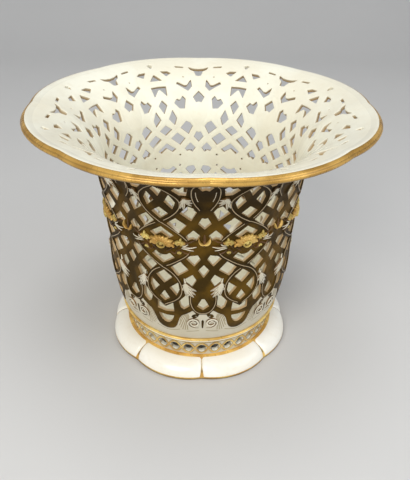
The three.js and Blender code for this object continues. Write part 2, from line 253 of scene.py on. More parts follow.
def inside(loop, points):
    """Which points lie inside a closed outline."""
    x, y = points[:, 0], points[:, 1]
    found = np.zeros(len(points), bool)
    for a, b in zip(loop, np.roll(loop, -1, axis=0)):
        crosses = (a[1] > y) != (b[1] > y)
        if crosses.any():
            found ^= crosses & (x < (b[0] - a[0]) * (y - a[1]) / (b[1] - a[1] + 1e-12) + a[0])
    return found


def depth_in(loop, points):
    """Distance to the outline, positive inside it."""
    closed = np.vstack([loop, loop[:1]])
    return distance_to([closed], points) * np.where(inside(loop, points), 1, -1)


# Pierced shells

TINY = 1e-6
JOINED = 1e-4     # points nearer than this to the drawing's side lie on it


def half_loop(loop, axis, width):
    """The half of a mirror-symmetric outline that lies in the drawing, from axis point to axis point."""
    on_axis = np.flatnonzero(np.abs(loop[:, 0] - axis) < TINY)
    first, last = on_axis[0], on_axis[-1]
    one = loop[first:last + 1]
    other = np.vstack([loop[last:], loop[:first + 1]])
    chain = (one if 0 <= one[:, 0].mean() <= width else other).copy()
    chain[[0, -1], 0] = axis
    kept = (chain[:, 0] > 0) & (chain[:, 0] < width) & (np.abs(chain[:, 0] - axis) > 0.05)
    kept[[0, -1]] = True
    return chain[kept]


def clipped(line, width, low, high):
    """Runs of a line that lie in the drawing, cut at its sides."""
    runs = [[]]
    for a, b in zip(line[:-1], line[1:]):
        enter, leave = 0.0, 1.0
        way = b - a
        for axis, least, most in ((0, 0.0, width), (1, low, high)):
            if abs(way[axis]) < 1e-12:
                if not least <= a[axis] <= most:
                    leave = -1
                continue
            near, far = sorted(((least - a[axis]) / way[axis], (most - a[axis]) / way[axis]))
            enter, leave = max(enter, near), min(leave, far)
        shown = leave > enter + 1e-9
        if enter > 0 or not shown:
            runs.append([])
        if shown:
            runs[-1] += [a + way * leave] if runs[-1] else [a + way * enter, a + way * leave]
            if leave < 1:
                runs.append([])
    return [np.array(run) for run in runs if run]


def cut_drawing(width, low, high, holes, lines, spacing, edge_steps):
    """Triangles of half a repeat, with the holes left out and the lines kept as edges. A hole is an outline
    with the word whole, or with the axis that it lies on."""
    points, edges, regions = [], [], []

    def add(chain, closed=False):
        start = len(points)
        points.extend(chain)
        edges.extend((start + i, start + i + 1) for i in range(len(chain) - 1))
        if closed:
            edges.append((len(points) - 1, start))

    for kind, loop in holes:
        chain = loop if kind == "whole" else half_loop(loop, kind, width)
        add(chain, closed=kind == "whole")
        regions.append(chain)
    for line in lines:
        for run in clipped(line, width, low, high):
            add(run)
    across = np.linspace(0, width, edge_steps + 1)
    for height in (low, high):
        add(np.column_stack([across, np.full(len(across), height)]))
    for side in (0, width):
        for height in np.arange(low + spacing, high - spacing / 2, spacing):
            points.append(np.array([side, height]))

    # Between the outlines the points stand in staggered rows
    inner = []
    for row, height in enumerate(np.arange(low + spacing * 0.8, high - spacing * 0.5, spacing * 0.87)):
        for x in np.arange(spacing * (0.5 + 0.5 * (row % 2)), width - spacing * 0.3, spacing):
            inner.append((x, height))
    inner = np.array(inner)
    gap = np.min(np.linalg.norm(inner[:, None] - np.array(points)[None], axis=2), axis=1)
    points.extend(inner[gap > spacing * 0.45])
    found = delaunay_2d_cdt([Vector(p) for p in points], edges, [], 0, 1e-5, False)
    flat = np.array([v[:] for v in found[0]])
    faces = np.array([f for f in found[2] if len(f) == 3])
    middle = flat[faces].mean(axis=1)
    gone = np.zeros(len(faces), bool)
    for region in regions:
        gone |= inside(region, middle)
    faces = faces[~gone]
    p, q, r = (flat[faces[:, i]] for i in range(3))
    turn = (q[:, 0] - p[:, 0]) * (r[:, 1] - p[:, 1]) - (r[:, 0] - p[:, 0]) * (q[:, 1] - p[:, 1])
    faces, turn = faces[np.abs(turn) > 1e-7], turn[np.abs(turn) > 1e-7]
    faces[turn < 0] = faces[turn < 0][:, ::-1]
    used = np.unique(faces)
    index = np.full(len(flat), -1)
    index[used] = np.arange(len(used))
    flat = flat[used]
    for side in (0, width):
        flat[np.abs(flat[:, 0] - side) < JOINED, 0] = side
    return flat, index[faces]


def shell(flat, faces, width, low, high, front, back, bevel, thickness, marks, mark_edge):
    """Layers of one half repeat: front, rounded edges of the openings, back. Gives the drawing points with
    their distance out, the faces, the marks of each point and how many faces close the ends."""
    directed = dict.fromkeys((int(p), int(q)) for a, b, c in faces for p, q in ((a, b), (b, c), (c, a)))
    rim = [(a, b) for a, b in directed if (b, a) not in directed]

    def on_side(i):
        return flat[i, 0] < TINY or flat[i, 0] > width - TINY

    def on_end(i):
        return abs(flat[i, 1] - low) < JOINED or abs(flat[i, 1] - high) < JOINED

    ends = [(a, b) for a, b in rim if on_end(a) and on_end(b)]
    holes = [(a, b) for a, b in rim if not (on_end(a) and on_end(b))
             and not (on_side(a) and on_side(b) and abs(flat[a, 0] - flat[b, 0]) < TINY)]
    toward = {}
    for a, b in holes:
        way = flat[b] - flat[a]
        normal = np.array([way[1], -way[0]]) / np.linalg.norm(way)
        for i in (a, b):
            toward[i] = toward.get(i, 0) + normal
    heads = np.array(sorted(toward))
    column = {i: place for place, i in enumerate(heads)}
    for i in heads:
        normal = np.array([0, 2 * toward[i][1]]) if on_side(i) else toward[i]
        toward[i] = normal / np.linalg.norm(normal) / max(np.linalg.norm(normal) / 2, 0.6)
    way = np.array([toward[i] for i in heads])
    count, rings = len(flat), len(heads)
    deep = -thickness + back[heads]

    # Share of the bevel's width, distance out, most paint, warmth and shade of each layer
    layers = (
        (0.35, front[heads] - 0.1 * bevel, None, 0, 0),
        (0.8, front[heads] - 0.42 * bevel, mark_edge, 1, 0.2),
        (1.0, front[heads] - 1.1 * bevel, -0.3, 1, 0.75),
        (1.0, front[heads] - 0.5 * thickness, -1, 0.7, 0.65),
        (1.0, deep + 1.1 * bevel, -1, 0.25, 0.3),
        (0.7, deep + 0.3 * bevel, -1, 0, 0.05),
    )
    points = [np.column_stack([flat, front])]
    mark = [marks]
    painted_edge = np.clip(marks[heads, 0] / 0.3, 0, 1)
    for share, out, most, warm, shade in layers:
        points.append(np.column_stack([flat[heads] + way * bevel * share, out]))
        stain_and_shade = np.column_stack([marks[heads, 0], warm * painted_edge, shade * painted_edge])
        if most is None:
            stain_and_shade = marks[heads]
        else:
            stain_and_shade[:, 0] = np.minimum(stain_and_shade[:, 0], most)
        mark.append(stain_and_shade)
    points.append(np.column_stack([flat, -thickness + back]))
    mark.append(np.tile((-1.0, 0, 0), (count, 1)))
    back_start = count + rings * len(layers)

    def layer_index(i, layer):
        if layer == 0:
            return i
        return back_start + i if layer > len(layers) else count + rings * (layer - 1) + column[i]

    made = [tuple(f) for f in faces] + [tuple(back_start + f[::-1]) for f in faces]
    for a, b in holes:
        for layer in range(len(layers) + 1):
            made.append((layer_index(b, layer), layer_index(a, layer),
                         layer_index(a, layer + 1), layer_index(b, layer + 1)))
    made += [(b, a, back_start + a, back_start + b) for a, b in ends]
    return np.vstack(points), made, np.concatenate(mark), len(ends)


def all_round(points, faces, mark, end_faces, turns, pitch, across, place):
    """Mirrors and repeats half a repeat all round, joining the shared points. Mark holds one array for the
    drawn side and one for its mirror image. The end faces get no weight in the shading of their corners."""
    theta = np.round(points[:, 0] / across, 6)
    keys, marks, made = [], [], []
    for turn in range(turns):
        for side, shown in zip((1, -1), mark):
            start = len(keys) * len(points)
            angle = np.round((turn * pitch + side * theta) * 1e6).astype(np.int64) % 360000000
            keys.append(np.column_stack([angle, np.round(points[:, 1:] * 1e5).astype(np.int64)]))
            marks.append(shown)
            made += [tuple(start + i for i in f[::side]) for f in faces]
    unique, first, inverse = np.unique(np.vstack(keys), axis=0, return_index=True, return_inverse=True)
    inverse = inverse.ravel()
    where = place(unique[:, 0] / 1e6, unique[:, 1] / 1e5, unique[:, 2] / 1e5)
    made = [tuple(inverse[list(f)]) for f in made]
    kept = [i for i, f in enumerate(made) if len(set(f)) == len(f)]
    weights = np.tile(np.arange(len(faces)) < len(faces) - end_faces, 2 * turns).astype(float)
    return where, [made[i] for i in kept], np.concatenate(marks)[first], weights[kept]


def values_of(items, word, width=1, kind=float):
    """One value of all items, as a flat array."""
    values = np.zeros(len(items) * width, kind)
    items.foreach_get(word, values)
    return values


def make_mesh(name, points, faces, materials, marks=None, face_material=None, weights=1.0):
    """Smooth mesh in metres, with normals that follow its larger faces. Marks are paint, or columns of paint,
    warmth and darkness; the darkness is dark paint in places and painted shade in others."""
    mesh = bpy.data.meshes.new(name)
    mesh.from_pydata((np.asarray(points) * MM).tolist(), [], [tuple(map(int, f)) for f in faces])
    for material in materials:
        mesh.materials.append(material)
    if face_material is not None:
        mesh.polygons.foreach_set("material_index", np.asarray(face_material, np.int32))
    if marks is not None:
        columns = np.atleast_2d(np.asarray(marks, np.float32).T)
        for word, values in zip(("mark", "warm", "deep"), columns):
            attribute = mesh.attributes.new(word, "FLOAT", "POINT")
            attribute.data.foreach_set("value", np.ascontiguousarray(values))
    mesh.polygons.foreach_set("use_smooth", np.ones(len(mesh.polygons), bool))
    mesh.update()
    area = values_of(mesh.polygons, "area") * weights
    loops = values_of(mesh.loops, "vertex_index", kind=np.int64)
    sizes = values_of(mesh.polygons, "loop_total", kind=np.int64)
    face_normal = values_of(mesh.polygons, "normal", 3).reshape(-1, 3)
    weighted = np.repeat(face_normal * area[:, None], sizes, axis=0)
    normal = np.column_stack([np.bincount(loops, weighted[:, axis], len(mesh.vertices)) for axis in range(3)])
    length = np.linalg.norm(normal, axis=1)[:, None]
    mesh.normals_split_custom_set_from_vertices((normal / np.maximum(length, 1e-20)).tolist())
    return mesh


def show(name, mesh, replaced=(), turn=0.0):
    """Puts a mesh in the scene as a piece of the basket."""
    piece = bpy.data.objects.new(name, mesh)
    bpy.context.scene.collection.objects.link(piece)
    piece.matrix_world = Matrix.Rotation(math.radians(turn), 4, "Z")
    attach(piece, "root")
    if replaced:
        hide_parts(*replaced)


def show_all(name, mesh, node=""):
    """Shows a mesh in every repeat. Name and node have a place for the repeat's number."""
    for turn in range(REPEATS):
        show(name.format(turn + 1), mesh, (node.format(turn + 1),) if node else (), turn * PITCH)


# Materials

def srgb(r, g, b):
    def line(c):
        c /= 255
        return c / 12.92 if c <= 0.04045 else ((c + 0.055) / 1.055) ** 2.4
    return (line(r), line(g), line(b), 1)


# Of the mix node: its two inputs and its output
MIX_SOCKETS = {"RGBA": (6, 7, 2), "FLOAT": (2, 3, 0)}


class Look:
    """A material and short ways to add nodes to it. Noises follow the place, with their scale per metre."""

    def __init__(self, name):
        self.material = bpy.data.materials.new(name)
        self.material.use_nodes = True
        self.nodes = self.material.node_tree.nodes
        self.shader = self.nodes["Principled BSDF"]

    def feed(self, node, inputs):
        """Sets each input, by name or number, or links it where the value comes from a node."""
        for socket, value in inputs.items():
            if isinstance(value, bpy.types.NodeSocket):
                self.material.node_tree.links.new(value, node.inputs[socket])
            else:
                node.inputs[socket].default_value = value

    def place(self):
        return self.nodes.new("ShaderNodeNewGeometry").outputs["Position"]

    def height(self):
        split = self.nodes.new("ShaderNodeSeparateXYZ")
        self.feed(split, {0: self.place()})
        return split.outputs["Z"]

    def noise(self, scale, detail=4.0, rough=0.55):
        node = self.nodes.new("ShaderNodeTexNoise")
        self.feed(node, {"Vector": self.place(), "Scale": scale, "Detail": detail, "Roughness": rough})
        return node.outputs["Fac"]

    def ramp(self, value, low, high, to_low=0.0, to_high=1.0, smooth=False):
        node = self.nodes.new("ShaderNodeMapRange")
        node.interpolation_type = "SMOOTHSTEP" if smooth else "LINEAR"
        self.feed(node, {"Value": value, "From Min": low, "From Max": high,
                         "To Min": to_low, "To Max": to_high})
        return node.outputs["Result"]

    def mix(self, share, a, b, kind="RGBA"):
        node = self.nodes.new("ShaderNodeMix")
        node.data_type = kind
        first, second, result = MIX_SOCKETS[kind]
        self.feed(node, {0: share, first: a, second: b})
        return node.outputs[result]

    def arithmetic(self, operation, a, b):
        node = self.nodes.new("ShaderNodeMath")
        node.operation = operation
        self.feed(node, {0: a, 1: b})
        return node.outputs[0]

    def attribute(self, name):
        node = self.nodes.new("ShaderNodeAttribute")
        node.attribute_name = name
        return node.outputs["Fac"]

    def bump(self, heights, distance):
        """Bump from a list of (height, weight)."""
        parts = [self.arithmetic("MULTIPLY", height, weight) for height, weight in heights]
        total = parts[0]
        for part in parts[1:]:
            total = self.arithmetic("ADD", total, part)
        node = self.nodes.new("ShaderNodeBump")
        self.feed(node, {"Strength": 1.0, "Distance": distance, "Height": total})
        self.feed(self.shader, {"Normal": node.outputs["Normal"]})

    def glaze(self, low, high):
        """Glaze between two tones, a little uneven, with the odd warm speck and a thin warm film."""
        tone = self.mix(self.ramp(self.noise(22, 3), 0.35, 0.68, smooth=True), low, high)
        speck = self.arithmetic("MULTIPLY", self.ramp(self.noise(900, 2), 0.74, 0.8), 0.45)
        film = self.ramp(self.noise(160, 4), 0.55, 0.75, 0.0, 0.18)
        return self.mix(film, self.mix(speck, tone, SPECK_BROWN), FILM_CREAM)

    def gold(self, light, deep, detail=5.0):
        """Paint or gilding that lies thicker in places."""
        return self.mix(self.ramp(self.noise(60, detail, 0.5), 0.36, 0.66, smooth=True), deep, light)


CREAM = srgb(234, 229, 209), srgb(242, 240, 223)
# Brighter cream for the foot: painted light
FOOT_LIT_CREAM = srgb(250, 245, 230), srgb(254, 251, 240)
GREY_CREAM = srgb(208, 200, 176), srgb(226, 219, 198)
SPECK_BROWN, FILM_CREAM = srgb(190, 165, 125), srgb(222, 208, 178)
# A warm stain for the glaze; a brown that darkens the paint for dark lines and for painted shade; a grey
# olive that darkens the glaze for painted strokes and for painted shade
WARM_EDGE, LINE_AND_SHADE_BROWN, STROKE_AND_SHADE_GLAZE = srgb(186, 150, 100), srgb(38, 27, 10), srgb(138, 124, 90)
PAPER = srgb(206, 205, 203), srgb(212, 211, 209)
PAINT_EDGE = 0.1          # marks between which paint gives way to glaze
GLAZE_ROUGHNESS = 0.16
FLARE_SHADE_HEIGHTS = (0.15, 0.2)   # heights in metres between which painted shade under the flare darkens the strapwork's paint


def painted(name, paint, roughness, metallic, glaze=CREAM, gloss=0.5, grain=0.05, detail=2.0,
            painted_shade_above=None):
    """Gold paint, in two tones, where the mark is positive, and glaze where it is negative. The mark warm
    stains the glaze, and the mark deep darkens both, for dark lines and strokes and for painted shade. Two
    heights, if given, are where painted shade darkens the gold towards the top."""
    look = Look(name)
    wobble = look.ramp(look.noise(1100, 2), 0.3, 0.7, -0.06, 0.06)
    level = look.arithmetic("ADD", look.attribute("mark"), wobble)
    share = look.ramp(level, -PAINT_EDGE, PAINT_EDGE, smooth=True)
    patches = look.ramp(look.noise(240), 0.3, 0.7, 0.55, 1.0)
    stain = look.arithmetic("MULTIPLY", look.attribute("warm"), patches)
    # The mark deep darkens glaze and gold: dark lines and strokes in places, painted shade in others
    deep = look.attribute("deep")
    ground = look.mix(stain, look.mix(deep, look.glaze(*glaze), STROKE_AND_SHADE_GLAZE), WARM_EDGE)
    gold = look.gold(*paint, detail)
    if painted_shade_above:
        # Painted shade under the flare: the gold turns darker towards the top
        gold = look.mix(look.ramp(look.height(), *painted_shade_above, 0.0, 0.8, smooth=True), gold, LINE_AND_SHADE_BROWN)
    gold = look.mix(deep, gold, LINE_AND_SHADE_BROWN)
    worn = look.ramp(look.noise(260), 0.35, 0.7, -0.08, 0.1)
    polish = look.ramp(look.noise(90), 0.3, 0.7, GLAZE_ROUGHNESS - 0.04, GLAZE_ROUGHNESS + 0.08)
    look.feed(look.shader, {
        "Base Color": look.mix(share, ground, gold),
        "Roughness": look.mix(share, polish, look.arithmetic("ADD", worn, roughness), "FLOAT"),
        "Metallic": look.arithmetic("MULTIPLY", share, metallic),
        "Specular IOR Level": gloss,
    })
    look.bump(((look.noise(45, 2), 1.0), (look.noise(700, 3), grain), (share, 0.25)), 0.00025)
    return look.material


def plain_gold(name, paint, roughness, metallic):
    """Gilding rubbed thin in patches, with faint hand burnishing."""
    look = Look(name)
    rubbed = look.ramp(look.noise(420, 5, 0.7), 0.58, 0.72, 0.0, 0.5)
    look.feed(look.shader, {
        "Base Color": look.mix(rubbed, look.gold(*paint), paint[1]),
        "Roughness": look.ramp(look.noise(300), 0.3, 0.7, roughness - 0.08, roughness + 0.12),
        "Metallic": metallic,
    })
    look.bump(((look.noise(60, 2), 1.0), (look.noise(800, 3), 0.2)), 0.0003)
    return look.material


# Light and deep tone of each paint, its roughness and how metallic it is
# The strapwork's paint darkens towards the top: painted shade under the flare
strapwork = painted("strapwork", (srgb(96, 70, 16), srgb(60, 44, 10)), 0.5, 0.12, gloss=0.1, grain=0.12,
                    detail=5.0, painted_shade_above=FLARE_SHADE_HEIGHTS)
gilt_lines = painted("gilt_lines", (srgb(246, 212, 128), srgb(208, 164, 82)), 0.32, 0.28)
gilt_edge = painted("gilt_edge", (srgb(211, 167, 84), srgb(178, 136, 61)), 0.3, 0.42, grain=0.03, detail=1.0)
# Its glaze is a brighter copy of the wall's cream: painted light on the foot
petal_glaze = painted("petal_glaze", (srgb(248, 210, 122), srgb(212, 166, 84)), 0.32, 0.25, FOOT_LIT_CREAM)
# Brown paint along the sides of leaves and scrolls and down a leaf's middle: painted shade where they meet
# the wall and in the crease
leaf_with_painted_shade = painted("leaf_with_painted_shade", (srgb(140, 104, 56), srgb(84, 60, 28)), 0.4, 0.3, GREY_CREAM,
                       grain=0.12, detail=5.0)
chased = plain_gold("chased_gold", (srgb(232, 196, 114), srgb(188, 146, 72)), 0.36, 0.4)
pale_gold = plain_gold("pale_gold", (srgb(220, 198, 116), srgb(184, 158, 84)), 0.4, 0.25)
bronze = plain_gold("bronze_paint", (srgb(112, 76, 36), srgb(66, 44, 18)), 0.42, 0.2)


# Pierced wall

# Openings of half a repeat in degrees from axis A and rows: half outlines on either axis, and whole ones
B = HALF
LOWER_ON_A = (
    [(0, 18.4), (3.5, 19.4), (0.8, 21.1), (0, 21.1)],
    [(0, 26.2), (3.1, 27.9), (0, 29.1)],
)
LOWER_ON_B = (
    [(B, 14), (20.9, 14.15), (19.3, 14.7), (18.2, 15.5), (17.6, 16.35), (B, 16.2)],
    [(B, 17.3), (17.2, 17.6), (17.7, 19.8), (B, 18.5)],
    [(B, 20.1), (19.4, 21), (B, 22.6)],
    [(B, 24.4), (17.6, 26), (B, 27.4)],
    [(B, 29.1), (15.9, 30.6), (18.5, 31.5), (20.5, 31), (B, 30.9)],
)
LOWER_INSIDE = (
    [(11.2, 18.5), (8, 19.4), (8.5, 22.1), (9.9, 22.1), (14.1, 20.4), (13, 19)],
    [(15.4, 21.8), (13.7, 23.2), (14.4, 24.9), (19.4, 23.5)],
    [(7, 23.8), (4, 25.6), (6.2, 26.9), (11.1, 25.7), (11.2, 24.6)],
    [(14, 26.6), (8.4, 28), (12.8, 29.8), (18.4, 28.3)],
    [(5.3, 28.9), (1.9, 30.4), (3.4, 31.4), (7.6, 31.2), (9.5, 30.6)],
)
UPPER_ON_A = (
    [(0, 37.1), (3.3, 38.3), (1.4, 39.5), (0, 39.3)],
    [(0, 46.6), (1.6, 46.3), (3.4, 47.6), (0, 49.2)],
    [(0, 53.6), (1.3, 53.7), (2.1, 55.1), (3.9, 55.6), (5, 56.7), (2.5, 56.1), (0, 56)],
)
UPPER_ON_B = (
    [(B, 35.9), (18.3, 34.9), (15.9, 35.5), (B, 37.1)],
    [(B, 38.9), (18.1, 40.1), (B, 41.2)],
    [(B, 43.8), (19.8, 45.8), (B, 47.1)],
    [(B, 50.1), (18.7, 48), (18.2, 50.6), (B, 50.7)],
    [(B, 52.4), (19.3, 52.4), (B, 54.4)],
    [(B, 56.5), (21.3, 57.8), (B, 58.3)],
)
UPPER_INSIDE = (
    [(4.3, 34.7), (2.2, 35.7), (5.7, 36.9), (9.5, 35.6), (8.3, 34.9), (6.2, 35.1)],
    [(12.8, 36.4), (9.1, 37.9), (14.7, 39.3), (18.9, 38.1)],
    [(6.8, 38.9), (4.1, 40.7), (5.9, 41.5), (8.4, 41.9), (12.3, 40.4)],
    [(15.9, 41.1), (14.4, 42.6), (17, 44.6), (19.8, 42.5)],
    [(8.9, 44.8), (8, 47.1), (9.6, 47.9), (11.4, 46.8), (13.3, 47.2), (15.1, 46.2), (12.2, 44.9)],
    [(6.1, 49.2), (3.8, 50.4), (4.2, 52.4), (6.5, 50.7), (8, 50.7), (11.5, 51.7), (12.3, 51.1)],
    [(16.5, 53.6), (13.7, 54.6), (15.4, 55.3), (18.8, 55.4)],
    [(7, 56.3), (7.4, 56.8), (11.2, 57.1), (10.8, 56.5)],
)
# Pricked holes: place and radius
PRICKS = ((13.1, 34.1, 0.85), (13.5, 31.6, 0.9), (8, 53.2, 0.5))
# Radius of an opening's corners and of its inward corners, width of its rounded edge
HOLE_CORNER = 0.4
HOLE_HOLLOW = 1.4
HOLE_BEVEL = 0.55

# Narrow straps with a raised pale rib along the middle
NARROW = (
    [(22.5, 19.25), (20.4, 19.8), (17.5, 20.4), (15, 21.1), (13.1, 21.9), (12.2, 22.8), (12.1, 23.9),
     (12.9, 25), (14.6, 26.1), (17, 27.1), (19.7, 27.8), (22.5, 28.3)],
    [(22.5, 28.3), (18, 29.2), (13, 30.4), (10, 31.2), (8.2, 31.9)],
    [(0, 17.75), (1.8, 17.8), (3.6, 18.1), (5.2, 18.7), (6.4, 19.5), (7.1, 20.4), (7.3, 21.3), (7, 22.2)],
    [(8.9, 34.8), (12, 35.9), (16, 37), (20, 37.9), (22.5, 38.3)],
    [(22.5, 38.3), (19, 39.1), (16.2, 39.9), (13.8, 40.8), (12.4, 41.7), (12.1, 42.8), (12.8, 43.8),
     (14.8, 44.9), (17.5, 46.1), (20.5, 47.2), (22.5, 47.9)],
    [(2.7, 41.3), (4.6, 42.4), (5.8, 43.6), (6.3, 44.8), (6.3, 46.3), (5.6, 47.9), (3, 49.6), (0, 50.3)],
)
# Where narrow straps cross on axis B, the first set passes under on the drawn side, the other on its mirror
# image. The reach is how far from the axis the rib of the strap below stays away.
UNDER = ((0, 3), (1, 4))
UNDER_REACH = 2.3
# Painted highlights: pale lines on the broad straps
HIGHLIGHT_LINES = (
    [(4.6, 46), (4.5, 45), (4.2, 44.2), (3.5, 43.2)],
)
# White ground behind the scrolls and round the wall's foot
GROUND = (
    (-0.5, 9), (23, 9), (23, 12.15), (20.8, 12.25), (18.6, 12.55), (16.9, 13.1), (15.7, 13.9), (14.9, 14.9),
    (13.9, 16), (12.3, 16.9), (9.5, 17.4), (6, 18.3), (4.3, 17.5), (4.3, 17.3), (1.9, 17.25), (-0.5, 17.25),
)
# Dark bud over each scroll, dark wedge between the two, pale drop on the bud
DARKS = (
    ((1.8, 17.5), (4.3, 17.3), (6, 17.1), (6.9, 16.6), (5.9, 16.1), (4.2, 16.15), (2.7, 16.65)),
    ((-0.8, 15.3), (0, 15.7), (0.8, 15.3), (0.7, 14.3), (0.5, 13.3), (0, 13), (-0.5, 13.3), (-0.7, 14.3)),
)
DROP_PLACE = (3.9, 16.55)
DROP_RADIUS = 0.45
# Tan feather strokes painted on the white ground
FEATHERS = (
    [(11.6, 17), (13.1, 16), (14.1, 14.9)],
    [(10.8, 17), (12.6, 15.6), (14.6, 13.7)],
    [(10, 17.1), (11.7, 15.3), (13.8, 13)],
    [(9.3, 17.1), (10.8, 15), (12.4, 12.8)],
    [(8.7, 17), (10, 14.9), (11, 12.6)],
    [(8.3, 16.6), (9.2, 14.8), (9.5, 12.7)],
    [(14.8, 12.3), (17.5, 11.9), (20.5, 11.6), (22.5, 11.5)],
    [(2.5, 12.3), (6, 12.1), (10, 11.9)],
)
MARGIN_ROW = 57.5       # the dark paint ends here, below the rim
MARGIN_FADE = 0.4
# Narrow strap: half width, rise, width of its slope, darkness of its paint, its trace inside the basket
NARROW_HALF = 1.55
NARROW_RISE = 0.75
NARROW_SLOPE = 0.3
NARROW_DEPTH = 0.65
INSIDE_HALF = 1.1
INSIDE_RELIEF = 0.12
# Rib on it: half width, rise, how far its slope starts outside and ends inside of that, stain on its edges
RIB_HALF = 0.27
RIB_RISE = 0.45
RIB_OUT = 0.2
RIB_IN = 0.16
RIB_WARMTH = 0.6
# Painted highlight lines and feather strokes
HIGHLIGHT_HALF = 0.2
HIGHLIGHT_CORE = 0.04
FEATHER_HALF = 0.22
FEATHER_FADE = 0.2
FEATHER_DEPTH = 0.95
# White ground: how deep it lies, how much deeper the dark forms lie in it, slopes of both, stain and painted
# shade
GROUND_DEPTH = 0.45
GROUND_SLOPE = 0.4
DARK_DEPTH = 0.5
DARK_SLOPE = 0.3
DARK_FADE = 0.25
GROUND_WARMTH = 0.25
GROUND_PAINTED_SHADE = 0.38
WALL_SPACING = 2.4      # between the points of its triangles


def round_points(radius, count):
    angle = np.linspace(0, 2 * math.pi, count + 1)[:-1]
    return radius * np.column_stack([np.cos(angle), np.sin(angle)])


def wall_holes():
    def opening(corners):
        return widened(rounded(drawn(corners), HOLE_CORNER, hollow=HOLE_HOLLOW), HOLE_BEVEL)

    found = []
    for axis, sets in ((0.0, LOWER_ON_A + UPPER_ON_A), (B, LOWER_ON_B + UPPER_ON_B)):
        for half in sets:
            other_half = [(2 * axis - x, row) for x, row in half[::-1] if x != axis]
            found.append((axis * ACROSS, opening(half + other_half)))
    found += [("whole", opening(outline)) for outline in LOWER_INSIDE + UPPER_INSIDE]
    for degrees, row, radius in PRICKS:
        found.append(("whole", drawn([(degrees, row)])[0] + round_points(radius + HOLE_BEVEL, 12)))
    return found


def extended(line, reach=3.0):
    """A line carried on straight past both ends."""
    start, end = line[0] - line[1], line[-1] - line[-2]
    return np.vstack([line[0] + start / np.linalg.norm(start) * reach, line,
                      line[-1] + end / np.linalg.norm(end) * reach])


def both_sides(line, reaches):
    return [offset_line(line, side * reach) for reach in reaches for side in (1, -1)]


def fade(distance, far, width):
    """0 beyond far, rising to 1 over the width before it."""
    return np.clip((far - distance) / width, 0, 1)


def painted_edges(narrow, fine, feathers, ground, darks, drop, margin):
    """Lines that the wall's triangles follow, so that its relief and its paint have clean edges."""
    lines = []
    for corners, line in zip(NARROW, narrow):
        past_ends = extended(line)
        first = 0 if corners[0][0] in (0, B) else 1
        last = 0 if corners[-1][0] in (0, B) else 1
        lines += both_sides(past_ends[first:len(past_ends) - last],
                            (NARROW_HALF, NARROW_HALF - NARROW_SLOPE, RIB_HALF + RIB_OUT, RIB_HALF - RIB_IN))
    for line in fine:
        lines += both_sides(line, (HIGHLIGHT_HALF, HIGHLIGHT_CORE))
    for line in feathers:
        lines += both_sides(line, (FEATHER_HALF, FEATHER_HALF + FEATHER_FADE))
    rings = [ground, widened(ground, -GROUND_SLOPE), drop]
    for outline in darks:
        rings += [outline, widened(outline, DARK_FADE), widened(outline, -DARK_FADE)]
    lines += [np.vstack([ring, ring[:1]]) for ring in rings]
    across = np.linspace(0, B * ACROSS, 12)
    for height in (margin, margin + MARGIN_FADE):
        lines.append(np.column_stack([across, np.full(len(across), height)]))
    return lines


def pierced_wall():
    width = B * ACROSS
    narrow = [smooth_line(drawn(line)) for line in NARROW]
    fine = [smooth_line(drawn(line), 1.0) for line in HIGHLIGHT_LINES]
    feathers = [smooth_line(drawn(line), 1.5) for line in FEATHERS]
    ground = rounded(drawn(GROUND), 0.8)
    darks = [rounded(drawn(outline), 0.6) for outline in DARKS]
    drop = drawn([DROP_PLACE])[0] + round_points(DROP_RADIUS, 10)
    margin = float(along_row(MARGIN_ROW))
    lines = painted_edges(narrow, fine, feathers, ground, darks, drop, margin)
    flat, faces = cut_drawing(width, 0.0, PROFILE_LENGTH, wall_holes(), lines, WALL_SPACING, 8)
    strap, to_highlight, feather = (distance_to(group, flat) for group in (narrow, fine, feathers))
    white = depth_in(ground, flat)
    shaded = np.maximum.reduce([depth_in(outline, flat) for outline in darks])

    # Relief outside and inside
    sunk = GROUND_DEPTH * fade(-white, 0, GROUND_SLOPE) * (1 + DARK_DEPTH * fade(-shaded, 0, DARK_SLOPE))
    front = (NARROW_RISE * fade(strap, NARROW_HALF, NARROW_SLOPE)
             + RIB_RISE * fade(strap, RIB_HALF + RIB_OUT, RIB_OUT + RIB_IN) - sunk * (strap > NARROW_HALF))
    back = INSIDE_RELIEF * fade(strap, INSIDE_HALF, 0.5)

    # Paint, stain and painted shade
    dark = np.maximum.reduce([-white, shaded, NARROW_HALF - strap])
    # Glaze along the highlight lines: a painted highlight on the dark strap
    dark = np.minimum.reduce([dark, -depth_in(drop, flat), margin - flat[:, 1], to_highlight - HIGHLIGHT_HALF])
    warm = np.maximum(fade(to_highlight, HIGHLIGHT_HALF + 0.4, 0.3), GROUND_WARMTH * (white > 0))
    # Feather strokes are painted darker, and the rest of the white ground gets painted shade
    stain_and_shade = np.where(feather < FEATHER_HALF + 0.05, FEATHER_DEPTH, GROUND_PAINTED_SHADE)
    deep = np.maximum(NARROW_DEPTH * fade(strap, NARROW_HALF + 0.1, 0.4), (white > 0) * stain_and_shade)
    mark = []
    for under in UNDER:
        hidden = 9 * (width - flat[:, 0] < UNDER_REACH)
        pale = np.minimum.reduce([distance_to([line], flat) + hidden * (number in under)
                                  for number, line in enumerate(narrow)])
        tan = np.maximum(warm, fade(pale, RIB_HALF + 0.3, 0.2))
        columns = np.column_stack([np.minimum(dark, pale - RIB_HALF), RIB_WARMTH * tan, deep])
        points, made, one, ends = shell(flat, faces, width, 0.0, PROFILE_LENGTH, front, back, HOLE_BEVEL,
                                        WALL_THICKNESS, columns, 0.05)
        mark.append(one)
    where, made, mark, weights = all_round(points, made, mark, ends, REPEATS, PITCH, ACROSS, on_wall)
    mesh = make_mesh("pierced_wall", where, made, [strapwork], mark, weights=weights)
    show("pierced_wall", mesh, ("lower_wall", "upper_wall"))


# Collar: two strands wind round the openings between two gilt bands

